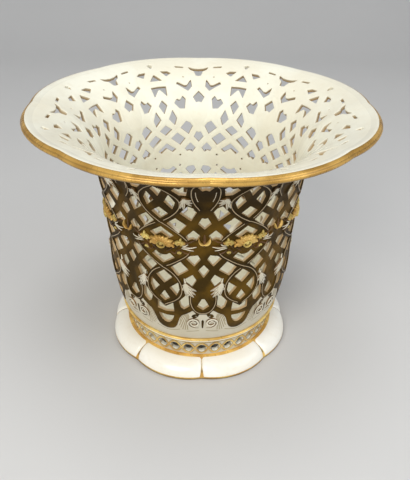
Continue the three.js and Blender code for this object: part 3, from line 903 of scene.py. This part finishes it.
COLLAR_BEVEL = 0.4
STRAND_HALF = 0.9
STRAND_CORE = 0.55
STRAND_RISE = 0.6
STRAND_INSET = 2.6      # from the collar's edges
PANEL_DEPTH = 0.35      # of the ground between strands and bands
BAND_HEIGHT = 1.2
BAND_GILDING = 0.9
COLLAR_WARMTH = 0.25
COLLAR_SPACING = 1.4


def collar():
    pitch = 360 / COLLAR_HOLES
    across = math.radians(1) * COLLAR_FOOT_RADIUS
    width = pitch / 2 * across
    middle = (COLLAR_LOW + COLLAR_TOP) / 2
    angles = np.linspace(0, 2 * math.pi, 25)[:-1]
    oval = np.column_stack([width * COLLAR_HOLE_SHARE * np.sin(angles),
                            middle + COLLAR_HOLE_HALF * np.cos(angles)])
    x = np.linspace(0, width, 14)
    swing = ((COLLAR_TOP - COLLAR_LOW) / 2 - STRAND_INSET) * np.cos(math.pi * x / (2 * width))
    strands = [np.column_stack([x, middle + swing]), np.column_stack([x, middle - swing])]
    lines = [offset_line(extended(strand), side * reach) for strand in strands
             for side, reach in ((-1, STRAND_HALF), (-1, STRAND_CORE), (1, STRAND_CORE), (1, STRAND_HALF))]
    for band in (COLLAR_LOW + BAND_HEIGHT, COLLAR_TOP - BAND_HEIGHT):
        lines.append(np.array([[0, band], [width, band]]))
    flat, faces = cut_drawing(width, COLLAR_LOW, COLLAR_TOP, [(0.0, widened(oval, COLLAR_BEVEL))], lines,
                              COLLAR_SPACING, 3)
    strap = distance_to(strands, flat)
    edge = np.minimum(flat[:, 1] - COLLAR_LOW, COLLAR_TOP - flat[:, 1])
    front = (STRAND_RISE * fade(strap, STRAND_HALF, STRAND_HALF - STRAND_CORE)
             - PANEL_DEPTH * (edge >= BAND_HEIGHT + 0.1))
    gold = np.maximum(STRAND_HALF - 0.05 - strap, BAND_GILDING - edge)

    # A strand is darker towards its edges, and the ground beside it lies in a light shade
    shade = np.where(strap < STRAND_HALF + 0.02, 0.12 + 0.6 * (strap > 0.6), 0.35) * (edge > BAND_GILDING)
    columns = np.column_stack([gold, np.full(len(flat), COLLAR_WARMTH), shade])
    points, made, mark, ends = shell(flat, faces, width, COLLAR_LOW, COLLAR_TOP, front, 0 * front,
                                     COLLAR_BEVEL, COLLAR_WALL, columns, 0.0)
    where, made, mark, weights = all_round(points, made, (mark, mark), ends, COLLAR_HOLES, pitch, across,
                                           on_collar)
    mesh = make_mesh("pierced_collar_ring", where, made, [gilt_lines], mark, weights=weights)
    show("pierced_collar_ring", mesh, ("pierced_collar",))


# Turned rings

# Angles from the place where two lobes meet, closer together near it
LOBE_STEPS = np.array([0, 0.25, 0.5, 0.8, 1.2, 1.7, 2.4, 3.3, 4.5, 6, 8, 10.5, 13.5, 17, 20, 22.5])


def lobe_angles():
    whole = np.concatenate([LOBE_STEPS, PITCH - LOBE_STEPS[-2:0:-1]])
    return np.concatenate([turn * PITCH + whole for turn in range(REPEATS)])


def turned(name, rows, material, node, on_axis=False):
    """Ring from rows of radius, height, mark and painted shade, each a number or a value for each angle.
    Either discs close it on the axis, or a span that lies hidden and gets no weight in the shading."""
    theta = lobe_angles()
    count = len(theta)
    rows = [[np.broadcast_to(value, theta.shape) for value in row] for row in rows]
    points = np.vstack([on_circle(theta, radius, height) for radius, height, _, _ in rows])
    marks = np.vstack([np.column_stack([mark, 0 * theta, deep]) for _, _, mark, deep in rows])
    around = [(i, (i + 1) % count) for i in range(count)]
    made = []
    for row in range(len(rows) - on_axis):
        low, high = row * count, (row + 1) % len(rows) * count
        made += [(low + i, low + j, high + j, high + i) for i, j in around]
    if on_axis:
        first, last, centre = 0, len(points) - count, len(points)
        points = np.vstack([points, [[0, 0, points[row][2]] for row in (first, last)]])
        marks = np.vstack([marks, marks[first], marks[last]])
        made += [(j, i, centre) for i, j in around]
        made += [(last + i, last + j, centre + 1) for i, j in around]
    weights = np.ones(len(made))
    if not on_axis:
        weights[-count:] = 0
    mesh = make_mesh(name, points, made, [material], marks, weights=weights)
    show(name, mesh, (node,))


# Lip: share of its reach, height over the middle of the wall's edge, how gilt it is, how dark the gold is,
# which is painted shade on its lower side and in its groove
LIP_REACH = 8.3
LIP_INSET = 0.2
LIP_SECTION = (
    (0.0, -3.6, -1.0, 0), (0.1, -3.6, -0.4, 0), (0.2, -3.58, 1.0, 0.3), (0.37, -3.45, 1.0, 0.5),
    (0.53, -3.2, 1.0, 0.7), (0.68, -2.8, 1.0, 0.8), (0.8, -2.3, 1.0, 0.74), (0.9, -1.65, 1.0, 0.55),
    (0.96, -0.95, 1.0, 0.2), (0.995, -0.25, 1.0, 0), (1.0, 0.25, 1.0, 0), (0.985, 0.7, 1.0, 0.1),
    (0.955, 1.0, 1.0, 0.3), (0.935, 1.2, 1.0, 0.4), (0.932, 1.45, 1.0, 0.2), (0.925, 1.75, 1.0, 0),
    (0.885, 2.15, 1.0, 0), (0.825, 2.53, 1.0, 0), (0.765, 2.8, 1.0, 0.1), (0.725, 2.93, 0.3, 0.2),
    (0.68, 3.03, -0.5, 0), (0.6, 3.1, -1.0, 0), (0.5, 3.02, -1.0, 0), (0.38, 2.75, -1.0, 0),
    (0.26, 2.43, -1.0, 0), (0.14, 2.1, -1.0, 0), (0.05, 1.87, -1.0, 0), (0.0, 1.76, -1.0, 0),
)


def gilt_lip():
    across = np.array([-EDGE_WAY[1], EDGE_WAY[0]])
    middle = np.array(FLARE) + WALL_THICKNESS / 2 * across - LIP_INSET * EDGE_WAY
    notch = RIM_NOTCH * lobe_share(lobe_angles()) ** 2
    rows = []
    for reach, rise, mark, deep in LIP_SECTION:
        radius, height = middle + across * rise + np.array([LIP_REACH * reach, 0])
        rows.append((radius - notch, height, mark, deep))
    turned("gilt_rim", rows, gilt_edge, "gilt_lip")


# Moulding: inset from the plate's radius, height over its underside or its top, how gilt it is
MOULDING_BELOW = (
    (2.2, 0, 1.0), (1.2, 0.1, 1.0), (0.8, 0.55, 1.0), (1.0, 1.0, 0.3), (1.5, 1.3, -1.0), (1.6, 1.9, -1.0),
    (1.2, 2.3, -1.0), (0.9, 2.6, 0.3), (0.35, 2.9, 1.0), (0, 3.4, 1.0), (0.1, 4.0, 1.0),
)
MOULDING_ABOVE = ((0.7, -0.25, 1.0), (1.6, 0, 0.6), (3.0, 0, -0.6), (6, 0, -1.0))
MOULDING_SHADE = 0.55
MOULDING_SHADED_HEIGHT = 1.2


def base_moulding():
    rows = [(PLATE_RADIUS - inset, PLATE_LOW + rise, mark, MOULDING_SHADE * (rise < MOULDING_SHADED_HEIGHT))
            for inset, rise, mark in MOULDING_BELOW]
    rows += [(PLATE_RADIUS - inset, PLATE_TOP + rise, mark, 0) for inset, rise, mark in MOULDING_ABOVE]
    turned("gilt_moulding", rows, gilt_lines, "base_plate", on_axis=True)


# Foot: inset and height of its gilt lower edge, how gilt its petals are from there up to the collar
FOOT_EDGE_SECTION = ((3.4, 0.0), (1.2, 0.25), (0.2, 1.0), (0.05, 2.2))
PETAL_GILDING = (0.5, -0.7) + 10 * (-1,) + (-0.3, 1)
FOOT_BORE_HEIGHT = 6
GROOVE_DEPTH = 1.5      # between two petals
GROOVE_HALF = 1.5
LINE_HALF = 0.3         # of the gilt line in the groove, which widens towards the foot's edge
LINE_SPREAD = 1.5
LOZENGE_HALF = 2.6      # of the gilt lozenge at the line's top
LOZENGE_REACH = 3
LOZENGE_INSET = 0.5
FOOT_SHADE = 0.6        # of the gilding on the lower edge and in the groove


def lobed_foot():
    seat, collar_back = COLLAR_FOOT_RADIUS + FOOT_FLAT, COLLAR_FOOT_RADIUS - COLLAR_WALL
    spread = FOOT_RADIUS - seat
    corners = [(FOOT_BORE, 0.0, -1)]
    corners += [(FOOT_RADIUS - inset, height, 1) for inset, height in FOOT_EDGE_SECTION]
    for angle, mark in zip(np.linspace(0, math.pi / 2, len(PETAL_GILDING)), PETAL_GILDING):
        height = FOOT_EDGE + (FOOT_TOP - FOOT_EDGE) * math.sin(angle)
        corners.append((seat + spread * math.cos(angle), height, mark))
    corners += [(COLLAR_FOOT_RADIUS, FOOT_TOP, 1), (collar_back - 1, FOOT_TOP, -1),
                (collar_back - 3, FOOT_TOP - 2.5, -1), (FOOT_BORE, FOOT_BORE_HEIGHT, -1)]
    theta = lobe_angles()
    from_a = np.radians(np.abs(np.mod(theta + HALF, PITCH) - HALF))
    rows = []
    for radius, height, mark in corners:
        outer = np.clip((radius - seat) / spread, 0, 1)
        away = from_a * radius
        showing = smoothstep(height, 0.5, 5.0) * smoothstep(radius, seat - 1, seat + 4)
        groove = GROOVE_DEPTH * showing * np.exp(-(away / GROOVE_HALF) ** 2)
        line = LINE_HALF + LINE_SPREAD * outer ** 6 - away
        lozenge = 1 - away / LOZENGE_HALF - abs(radius - seat - LOZENGE_INSET) / LOZENGE_REACH
        gold = np.where(showing > 0.05, np.maximum(mark, np.maximum(line, lozenge)), mark)
        dark = (height < 2.5) | ((line > 0) & (outer < 0.9) & (lozenge < 0))
        notch = FOOT_NOTCH * outer * lobe_share(theta) ** 2
        rows.append((radius - notch - 0.6 * outer * groove, height - groove, gold, FOOT_SHADE * dark))
    turned("petal_foot", rows, petal_glaze, "lobed_foot")


# Relief pieces

BURIED = -0.35          # height of the underside of each form, which lies in the wall
BLADE_POINTS = 9        # across a blade
CREASE_HALF = 0.22      # shares of a blade's half width
VEIN_HALF = 0.2
DOME_POINTS = 20        # round a dome
DOME_LEVELS = (1.0, 0.97, 0.85, 0.65, 0.4, 0.18)
ACANTHUS_HEIGHT = (1.0, 1.8, 1.6, 1.3, 0.5)
ACANTHUS_BASE = (0.9, 0.6, 0.3, 0.0)


def offset_from(corner, pairs):
    """Drawing points given in millimetres from a point of degrees and rows."""
    return drawn([corner])[0] + np.array(pairs, float)


def mirrored(corners, side, lift=0):
    """Drawing points of corners in degrees and rows, on one side of the middle."""
    return drawn([(side * x, row + lift) for x, row in corners])


class Relief:
    """Closed small forms laid on the wall, gathered into one mesh."""

    def __init__(self):
        self.points, self.faces, self.marks, self.material = [], [], [], []

    def add(self, flat, out, marks, faces, material):
        start = sum(len(part) for part in self.points)
        self.points.append(np.column_stack([flat, out]))
        self.marks.append(np.broadcast_to(marks, (len(flat),)))
        self.faces += [tuple(start + corner for corner in face) for face in faces]
        self.material += [material] * len(faces)

    def blade(self, path, width, height, crease=0.0, base=0.0, material=None, rim_mark=0.0, core_mark=-1.0,
              step=0.9, vein=0.0):
        """A leaf, petal or rope along drawing points. Half width, height and base are values along it."""
        line = smooth_line(path, step)
        count = len(line)
        share = np.linspace(0, 1, count)
        half, tall, foot = (np.interp(share, np.linspace(0, 1, len(values)), values)
                            for values in (width, height, np.atleast_1d(base)))
        way = np.gradient(line, axis=0)
        way /= np.linalg.norm(way, axis=1)[:, None]
        normal = np.column_stack([-way[:, 1], way[:, 0]])
        sides = np.sin(np.linspace(-math.pi / 2, math.pi / 2, BLADE_POINTS))
        rises = np.sqrt(np.clip(1 - sides ** 2, 0, 1)) * (1 - crease * np.exp(-(sides / CREASE_HALF) ** 2))
        flat, out, marks = [], [], []
        for side, rise in zip(sides, rises):
            flat.append(line + normal * (half * side)[:, None])
            out.append(foot + tall * rise)
            painting = core_mark + (rim_mark - core_mark) * abs(side) ** 3
            marks.append(np.full(count, painting + vein * math.exp(-(side / VEIN_HALF) ** 2)))
        flat += [flat[-1], flat[0]]
        out += [np.full(count, BURIED)] * 2
        marks += [np.full(count, rim_mark)] * 2
        starts = [k * count for k in range(BLADE_POINTS + 2)]
        faces = []
        for i in range(count - 1):
            for low, high in zip(starts, starts[1:] + starts[:1]):
                faces.append((low + i + 1, high + i + 1, high + i, low + i))
        faces.append(tuple(starts))
        faces.append(tuple(low + count - 1 for low in reversed(starts)))
        self.add(np.vstack(flat), np.concatenate(out), np.concatenate(marks), faces, material)

    def dome(self, corner, shift, radius, height, lobes=0, depth=0.0, material=None, base=0.0):
        """A boss, plain or lobed, shifted by millimetres from a point of degrees and rows."""
        middle = offset_from(corner, [shift])
        angle = np.linspace(0, 2 * math.pi, DOME_POINTS + 1)[:-1]
        flat, out = [], []
        for number, level in enumerate(DOME_LEVELS):
            wave = 1 - depth * (0.5 - 0.5 * np.cos(lobes * angle)) * level
            ring = np.column_stack([np.cos(angle), np.sin(angle)]) * (radius * level * wave)[:, None]
            flat.append(middle + ring)
            lift = base + height * math.sqrt(1 - level ** 2) if number else BURIED
            out.append(lift - depth * 0.5 * height * (1 - wave))
        flat += [middle, middle]
        out.append([base + height, BURIED])
        last = (len(DOME_LEVELS) - 1) * DOME_POINTS
        top = last + DOME_POINTS
        faces = []
        for i in range(DOME_POINTS):
            j = (i + 1) % DOME_POINTS
            for low in range(0, last, DOME_POINTS):
                high = low + DOME_POINTS
                faces.append((low + i, low + j, high + j, high + i))
            faces.append((last + i, last + j, top))
            faces.append((j, i, top + 1))
        self.add(np.vstack(flat), np.concatenate(out), -1.0, faces, material)

    def petals(self, corner, angles, inner, outer, width, height, base=0.6, squash=1.0, material=None):
        """Creased petals round a point; angles in degrees from straight up."""
        for degrees, reach in zip(angles, np.broadcast_to(outer, (len(angles),))):
            turn = math.radians(degrees)
            way = np.array([math.sin(turn), math.cos(turn) * squash])
            path = offset_from(corner, [way * inner, way * (inner + reach) / 2, way * reach])
            self.blade(path, (width * 0.6, width, width * 0.9, 0.25),
                       (height * 0.5, height, height * 0.9, height * 0.35),
                       crease=0.3, base=(base, base, base / 2), material=material)

    def acanthus(self, root, tips):
        """Leaf lobes from a root: tip, sideways bend in millimetres, half width."""
        start = drawn([root])[0]
        for tip, bend, width in tips:
            end = drawn([tip])[0]
            way = (end - start) / np.linalg.norm(end - start)
            half_way = (start + end) / 2 + bend * np.array([-way[1], way[0]])
            # Brown sides and middle: painted shade where the lobe meets the wall and in its crease
            self.blade([start, half_way, end], (0.7, width * 0.9, width, width * 0.75, 0.35),
                       ACANTHUS_HEIGHT, crease=0.45, base=ACANTHUS_BASE, rim_mark=1.1, core_mark=-0.7,
                       vein=1.0)

    def mesh(self, name, materials, theta=0.0, side=1):
        """The forms on the wall at theta, or mirrored there. Those without a material get the first one."""
        points = np.vstack(self.points)
        where = on_wall(theta + side * points[:, 0] / ACROSS, points[:, 1], points[:, 2])
        faces = self.faces if side > 0 else [face[::-1] for face in self.faces]
        chosen = [0 if material is None else materials.index(material) for material in self.material]
        return make_mesh(name, where, faces, materials, np.concatenate(self.marks), chosen)


# Places are in degrees from the middle and rows. A section holds the half widths of a form along its length,
# then its heights. Lobes of leaves: tip, sideways bend, half width
LEAF_ROOT = (10.2, 25.2)
LEAF_LOBES = (
    ((3.9, 23.2), 0.6, 1.5), ((5.4, 21.7), 0.9, 1.9), ((4.4, 22.3), 0.7, 1.4), ((7.6, 21.9), 0.5, 1.6),
    ((9.6, 22.0), 0.0, 1.6), ((12.2, 23.2), -0.8, 1.5), ((12.2, 24.4), -0.7, 1.1),
)
LEAF_STALK = ((9.8, 24.4), (10.3, 25.4), (10.9, 26.1))
STALK_SECTION = (1.2, 0.9, 0.3), (1.4, 1.2, 0.5)
HIGH_LEAF_ROOT = (10, 44.4)
HIGH_LEAF_LOBES = (
    ((6.1, 43.7), 0.5, 1.1), ((5.6, 42.8), 0.6, 1.2), ((6.5, 42.1), 0.5, 1.2), ((10.3, 41.2), 0.0, 1.5),
    ((12.4, 41.3), -0.4, 1.2), ((12.3, 42.8), -0.5, 1.1),
)


def leaves():
    leaf, high_leaf = Relief(), Relief()
    leaf.acanthus(LEAF_ROOT, LEAF_LOBES)
    leaf.blade(drawn(LEAF_STALK), *STALK_SECTION, base=0.2, rim_mark=0.1)
    high_leaf.acanthus(HIGH_LEAF_ROOT, HIGH_LEAF_LOBES)
    for form, name, node in ((leaf, "acanthus", "leaf_{}_"), (high_leaf, "high_acanthus", "")):
        for side, word in ((1, "right"), (-1, "left")):
            mesh = form.mesh(name + "_" + word, [leaf_with_painted_shade], 0.0, side)
            show_all(name + "_{}_" + word, mesh, node and node + word)


SCROLL_MIDDLE = (5.4, 14.85)
SCROLL_RADIUS = 6.4
SCROLL_START = 238                          # degrees
SCROLL_TURNS = 1.9
SCROLL_TAIL = (1.6, 1.2, 0.8, 0.45, 0.2)    # added to the radius of the first points
SCROLL_SECTION = (0.3, 0.85, 1.0, 0.95, 0.8, 0.7, 0.6), (0.4, 1.3, 1.5, 1.5, 1.4, 1.3, 1.3)


def scrolls():
    pair = Relief()
    for side in (1, -1):
        turns = np.linspace(0, 1, 44)
        angle = math.radians(SCROLL_START) + turns * 2 * math.pi * SCROLL_TURNS
        radius = SCROLL_RADIUS * (1 - 0.78 * turns ** 0.8)
        radius[:len(SCROLL_TAIL)] += SCROLL_TAIL
        path = offset_from((side * SCROLL_MIDDLE[0], SCROLL_MIDDLE[1]),
                           np.column_stack([side * radius * np.cos(angle), radius * np.sin(angle)]))
        # Brown sides: painted shade in the crevices between the scroll's turns
        pair.blade(path, *SCROLL_SECTION, base=BURIED, rim_mark=1.3, core_mark=-0.85, step=0.7)
    show_all("scrolls_{}", pair.mesh("scrolls", [leaf_with_painted_shade]), "scroll_pair_{}")


# Rosette: its place, then millimetres from it. Petals: angles in degrees from straight up, inner and outer
# reach, half width, height. Domes: place of the middle, radius, height
ROSETTE = (0, 33.65)
OUTER_PETALS = (-92, -64, -36, -12, 12, 36, 64, 92), 2.4, (9.6, 9.8, 8.6, 7.8, 7.8, 8.6, 9.8, 9.6), 2.1, 2.2
INNER_PETALS = (-70, -46, -22, 0, 22, 46, 70), 2.2, 6.0, 1.1, 2.6
EYE_RING = (2.9, 2.6, -0.2)                 # half width, half height, height of its middle
EYE_RING_SECTION = (0.55, 0.55), (1.6, 1.6)
EYE_DISC = (0, -0.3), 2.5, 0.8
EYE = (0, 0.5), 1.7, 1.9
ROSETTE_BERRIES = (((8.3, -0.9), 1.2, 1.3), ((5.9, -1.9), 1.0, 1.3))
FRINGE = ((2.4, -4.6), (4.6, -3.9), (6.6, -3.2))
FRINGE_START = -2.6
FRINGE_SECTION = (0.3, 0.45, 0.2), (0.7, 0.8, 0.3)


def rosettes():
    form = Relief()
    form.petals(ROSETTE, *OUTER_PETALS, squash=0.88)
    form.petals(ROSETTE, *INNER_PETALS, base=1.0)
    angle = np.linspace(0, 2 * math.pi, 25)
    wide, high, rise = EYE_RING
    ring = offset_from(ROSETTE, np.column_stack([wide * np.cos(angle), rise + high * np.sin(angle)]))
    form.blade(ring, *EYE_RING_SECTION, base=1.9, step=0.8, material=pale_gold)
    form.dome(ROSETTE, *EYE_DISC, base=1.2, material=bronze)
    form.dome(ROSETTE, *EYE, base=1.6, material=pale_gold)
    for side in (1, -1):
        for (x, rise), radius, height in ROSETTE_BERRIES:
            form.dome(ROSETTE, (side * x, rise), radius, height, lobes=5, depth=0.3, base=0.4)
        for x, drop in FRINGE:
            path = [(side * x * 0.7, FRINGE_START), (side * x * 0.9, drop * 0.8), (side * x, drop)]
            form.blade(offset_from(ROSETTE, path), *FRINGE_SECTION, base=0.2, material=bronze)
    mesh = form.mesh("rosette", [chased, bronze, pale_gold], HALF)
    show_all("rosette_form_{}", mesh, "rosette_{}")


# Swag, beside its knot. Leaves: path, half width. Berries: place, radius
SWAG_LIFT = 0.25        # rows by which most of it lies higher than it is written here
CRESCENT = ((-0.5, 33.75), (0.6, 33.7), (1.9, 33.95), (2.7, 34.4), (2.9, 35))
CRESCENT_SIDES = ((1, 1.0), (-1, 0.55))     # side, share of its width
CRESCENT_HEIGHT = (0.8, 1.9, 2.2, 1.9, 0.6)
KNOT = ((0, 33.4), (0, 34.2), (0.1, 35), (0, 36))
KNOT_SECTION = (0.7, 1.3, 1.2, 0.3), (0.9, 1.2, 1.0, 0.3)
SWAG_LEAVES = (
    (((11.4, 33.5), (9.9, 33.55), (8.4, 33.8)), 0.6),
    (((11.4, 33.2), (7.6, 33.15), (4, 33.28)), 0.62),
    (((11.8, 32.95), (8.8, 32.8), (5.4, 32.42)), 0.62),
)
SWAG_LEAF_HEIGHT = (0.9, 1.3, 1.5, 0.6)
FLOWER = (12.9, 33.85)
FLOWER_PETALS = (-95, -62, -30, 0, 30, 62, 95, 140, 220), 0.8, 3.9, 1.15, 1.7
FLOWER_EYE = (0, 0), 1.1, 1.3
FLOWER_TIP = ((12.4, 34.6), (12.3, 34.9), (12.1, 35.2))
TIP_SECTION = (1.0, 0.9, 0.3), (1.2, 1.0, 0.4)
BUD = (13.1, 31.9)
BUD_PETALS = (-60, 0, 60), 0.3, 2.0, 0.9, 1.2
BERRIES = ((16.2, 33.3, 1.2), (15.8, 34.1, 1.1), (10.2, 34.2, 0.8))
BERRY_HEIGHT = 1.4
TENDRILS = (
    ((17.5, 31.9), (15.5, 31.5), (14.2, 32.2), (12, 32.5)),
    ((13.4, 33.4), (14.5, 33), (15.6, 32.5)),
    ((12, 32.3), (10, 31.8), (8.4, 31.7), (7.2, 32.2)),
    ((10.4, 33.9), (7.5, 34.2), (4.6, 34.7)),
    ((16.8, 32.6), (18.6, 32.2), (20, 31.7)),
)
TENDRIL_SECTION = (0.35, 0.55, 0.5, 0.25), (0.7, 1.0, 1.0, 0.5)


def swags():
    form = Relief()
    for side, share in CRESCENT_SIDES:
        form.blade(mirrored(CRESCENT, side, SWAG_LIFT), (0.3, 1.0 * share, 1.2 * share, 0.95 * share, 0.25),
                   CRESCENT_HEIGHT, base=0.6)
    form.blade(drawn(KNOT), *KNOT_SECTION, base=0.2, material=bronze)
    for side in (1, -1):
        for corners, width in SWAG_LEAVES:
            # Brown sides: painted shade where the leaf meets the forms under it
            form.blade(mirrored(corners, side, SWAG_LIFT), (0.3, width * 0.9, width, 0.35), SWAG_LEAF_HEIGHT,
                       base=0.8, material=leaf_with_painted_shade, rim_mark=1.0, core_mark=-0.7)
        flower = (side * FLOWER[0], FLOWER[1] + SWAG_LIFT)
        form.petals(flower, *FLOWER_PETALS, squash=0.62, material=pale_gold)
        form.dome(flower, *FLOWER_EYE, lobes=5, depth=0.3, base=1.0)
        form.blade(mirrored(FLOWER_TIP, side), *TIP_SECTION, base=0.4, material=pale_gold)
        form.petals((side * BUD[0], BUD[1]), *BUD_PETALS, squash=0.8, material=pale_gold)
        for x, row, radius in BERRIES:
            form.dome((side * x, row), (0, 0), radius, BERRY_HEIGHT, lobes=5, depth=0.25, base=0.5)
        for corners in TENDRILS:
            form.blade(mirrored(corners, side, SWAG_LIFT), *TENDRIL_SECTION, base=0.2, material=bronze)
    mesh = form.mesh("swag", [chased, leaf_with_painted_shade, bronze, pale_gold])
    show_all("swag_form_{}", mesh, "swag_{}")


# Floor, light and camera, in metres

SWEEP_HALF = 4          # half width of the paper that the basket stands on
SWEEP_FRONT = -2.5
SWEEP_BEND = 1.0        # its curve up starts here, behind the basket
SWEEP_RADIUS = 0.8
SWEEP_TOP = 3.5

# Lamps: place, size, power, colour
LAMPS = (
    ("key", (-0.5, -1.05, 0.95), 0.9, 12, (1.0, 0.98, 0.93)),
    ("fill", (0.9, -0.5, 0.8), 0.9, 4.5, (0.95, 0.97, 1.0)),
    ("top", (0, 0.05, 1.5), 0.6, 3.6, (1, 1, 1)),
)
LAMP_AIM = (0, 0, 0.12)
SKY = (0.92, 0.95, 1.0, 1)
SKY_STRENGTH = 0.5

# Camera as the photograph was taken, found from the rim, the foot and the pattern. Angles are in degrees
CAMERA_PLACE = (0, -0.41265, 0.36288)
CAMERA_TILT = 33.11
CAMERA_YAW = 0.6
CAMERA_ROLL = 1.15
CAMERA_ROUND = -2.18    # its way round the basket, from axis A
FOCAL_PIXELS = 537.475
PHOTO_PIXELS = 480
SENSOR_WIDTH = 36       # millimetres


def floor():
    look = Look("studio_paper")
    look.feed(look.shader, {"Base Color": look.mix(look.noise(3, 3), *PAPER), "Roughness": 0.9})
    rows = [(SWEEP_FRONT, 0), (SWEEP_BEND, 0)]
    for angle in np.linspace(0, math.pi / 2, 13)[1:]:
        rows.append((SWEEP_BEND + SWEEP_RADIUS * math.sin(angle), SWEEP_RADIUS * (1 - math.cos(angle))))
    rows.append((SWEEP_BEND + SWEEP_RADIUS, SWEEP_TOP))
    points = [(side * SWEEP_HALF / MM, y / MM, z / MM) for y, z in rows for side in (-1, 1)]
    faces = [(2 * i, 2 * i + 1, 2 * i + 3, 2 * i + 2) for i in range(len(rows) - 1)]
    sweep = bpy.data.objects.new("sweep", make_mesh("sweep", points, faces, [look.material]))
    bpy.context.scene.collection.objects.link(sweep)


def lamp(name, place, size, power, colour):
    light = bpy.data.lights.new(name, "AREA")
    light.shape = "DISK"
    light.size = size
    light.energy = power
    light.color = colour
    holder = bpy.data.objects.new(name, light)
    bpy.context.scene.collection.objects.link(holder)
    holder.location = place
    holder.rotation_euler = (Vector(LAMP_AIM) - Vector(place)).to_track_quat("-Z", "Y").to_euler()


def sky():
    world = bpy.data.worlds.new("studio")
    world.use_nodes = True
    background = world.node_tree.nodes["Background"]
    background.inputs[0].default_value = SKY
    background.inputs[1].default_value = SKY_STRENGTH
    bpy.context.scene.world = world


def photo_camera():
    tilt, yaw, roll = (math.radians(angle) for angle in (CAMERA_TILT, CAMERA_YAW, CAMERA_ROLL))
    forward = Vector((math.sin(yaw) * math.cos(tilt), math.cos(yaw) * math.cos(tilt), -math.sin(tilt)))
    right = forward.cross(Vector((0, 0, 1))).normalized()
    up = right.cross(forward)
    turned_right = math.cos(roll) * right + math.sin(roll) * up
    turned_up = -math.sin(roll) * right + math.cos(roll) * up
    view = Matrix.Identity(4)
    for column, axis in enumerate((turned_right, turned_up, -forward, Vector(CAMERA_PLACE))):
        for row in range(3):
            view[row][column] = axis[row]
    scene = bpy.context.scene
    camera = bpy.data.objects.new("camera", bpy.data.cameras.new("camera"))
    scene.collection.objects.link(camera)
    camera.data.sensor_width = SENSOR_WIDTH
    camera.data.lens = FOCAL_PIXELS / PHOTO_PIXELS * SENSOR_WIDTH
    camera.data.clip_start, camera.data.clip_end = 0.01, 20
    camera.matrix_world = Matrix.Rotation(math.radians(CAMERA_ROUND), 4, "Z") @ view
    scene.camera = camera
    scene.view_settings.view_transform = "Standard"


pierced_wall()
collar()
gilt_lip()
base_moulding()
lobed_foot()
leaves()
scrolls()
rosettes()
swags()
floor()
sky()
for values in LAMPS:
    lamp(*values)
photo_camera()
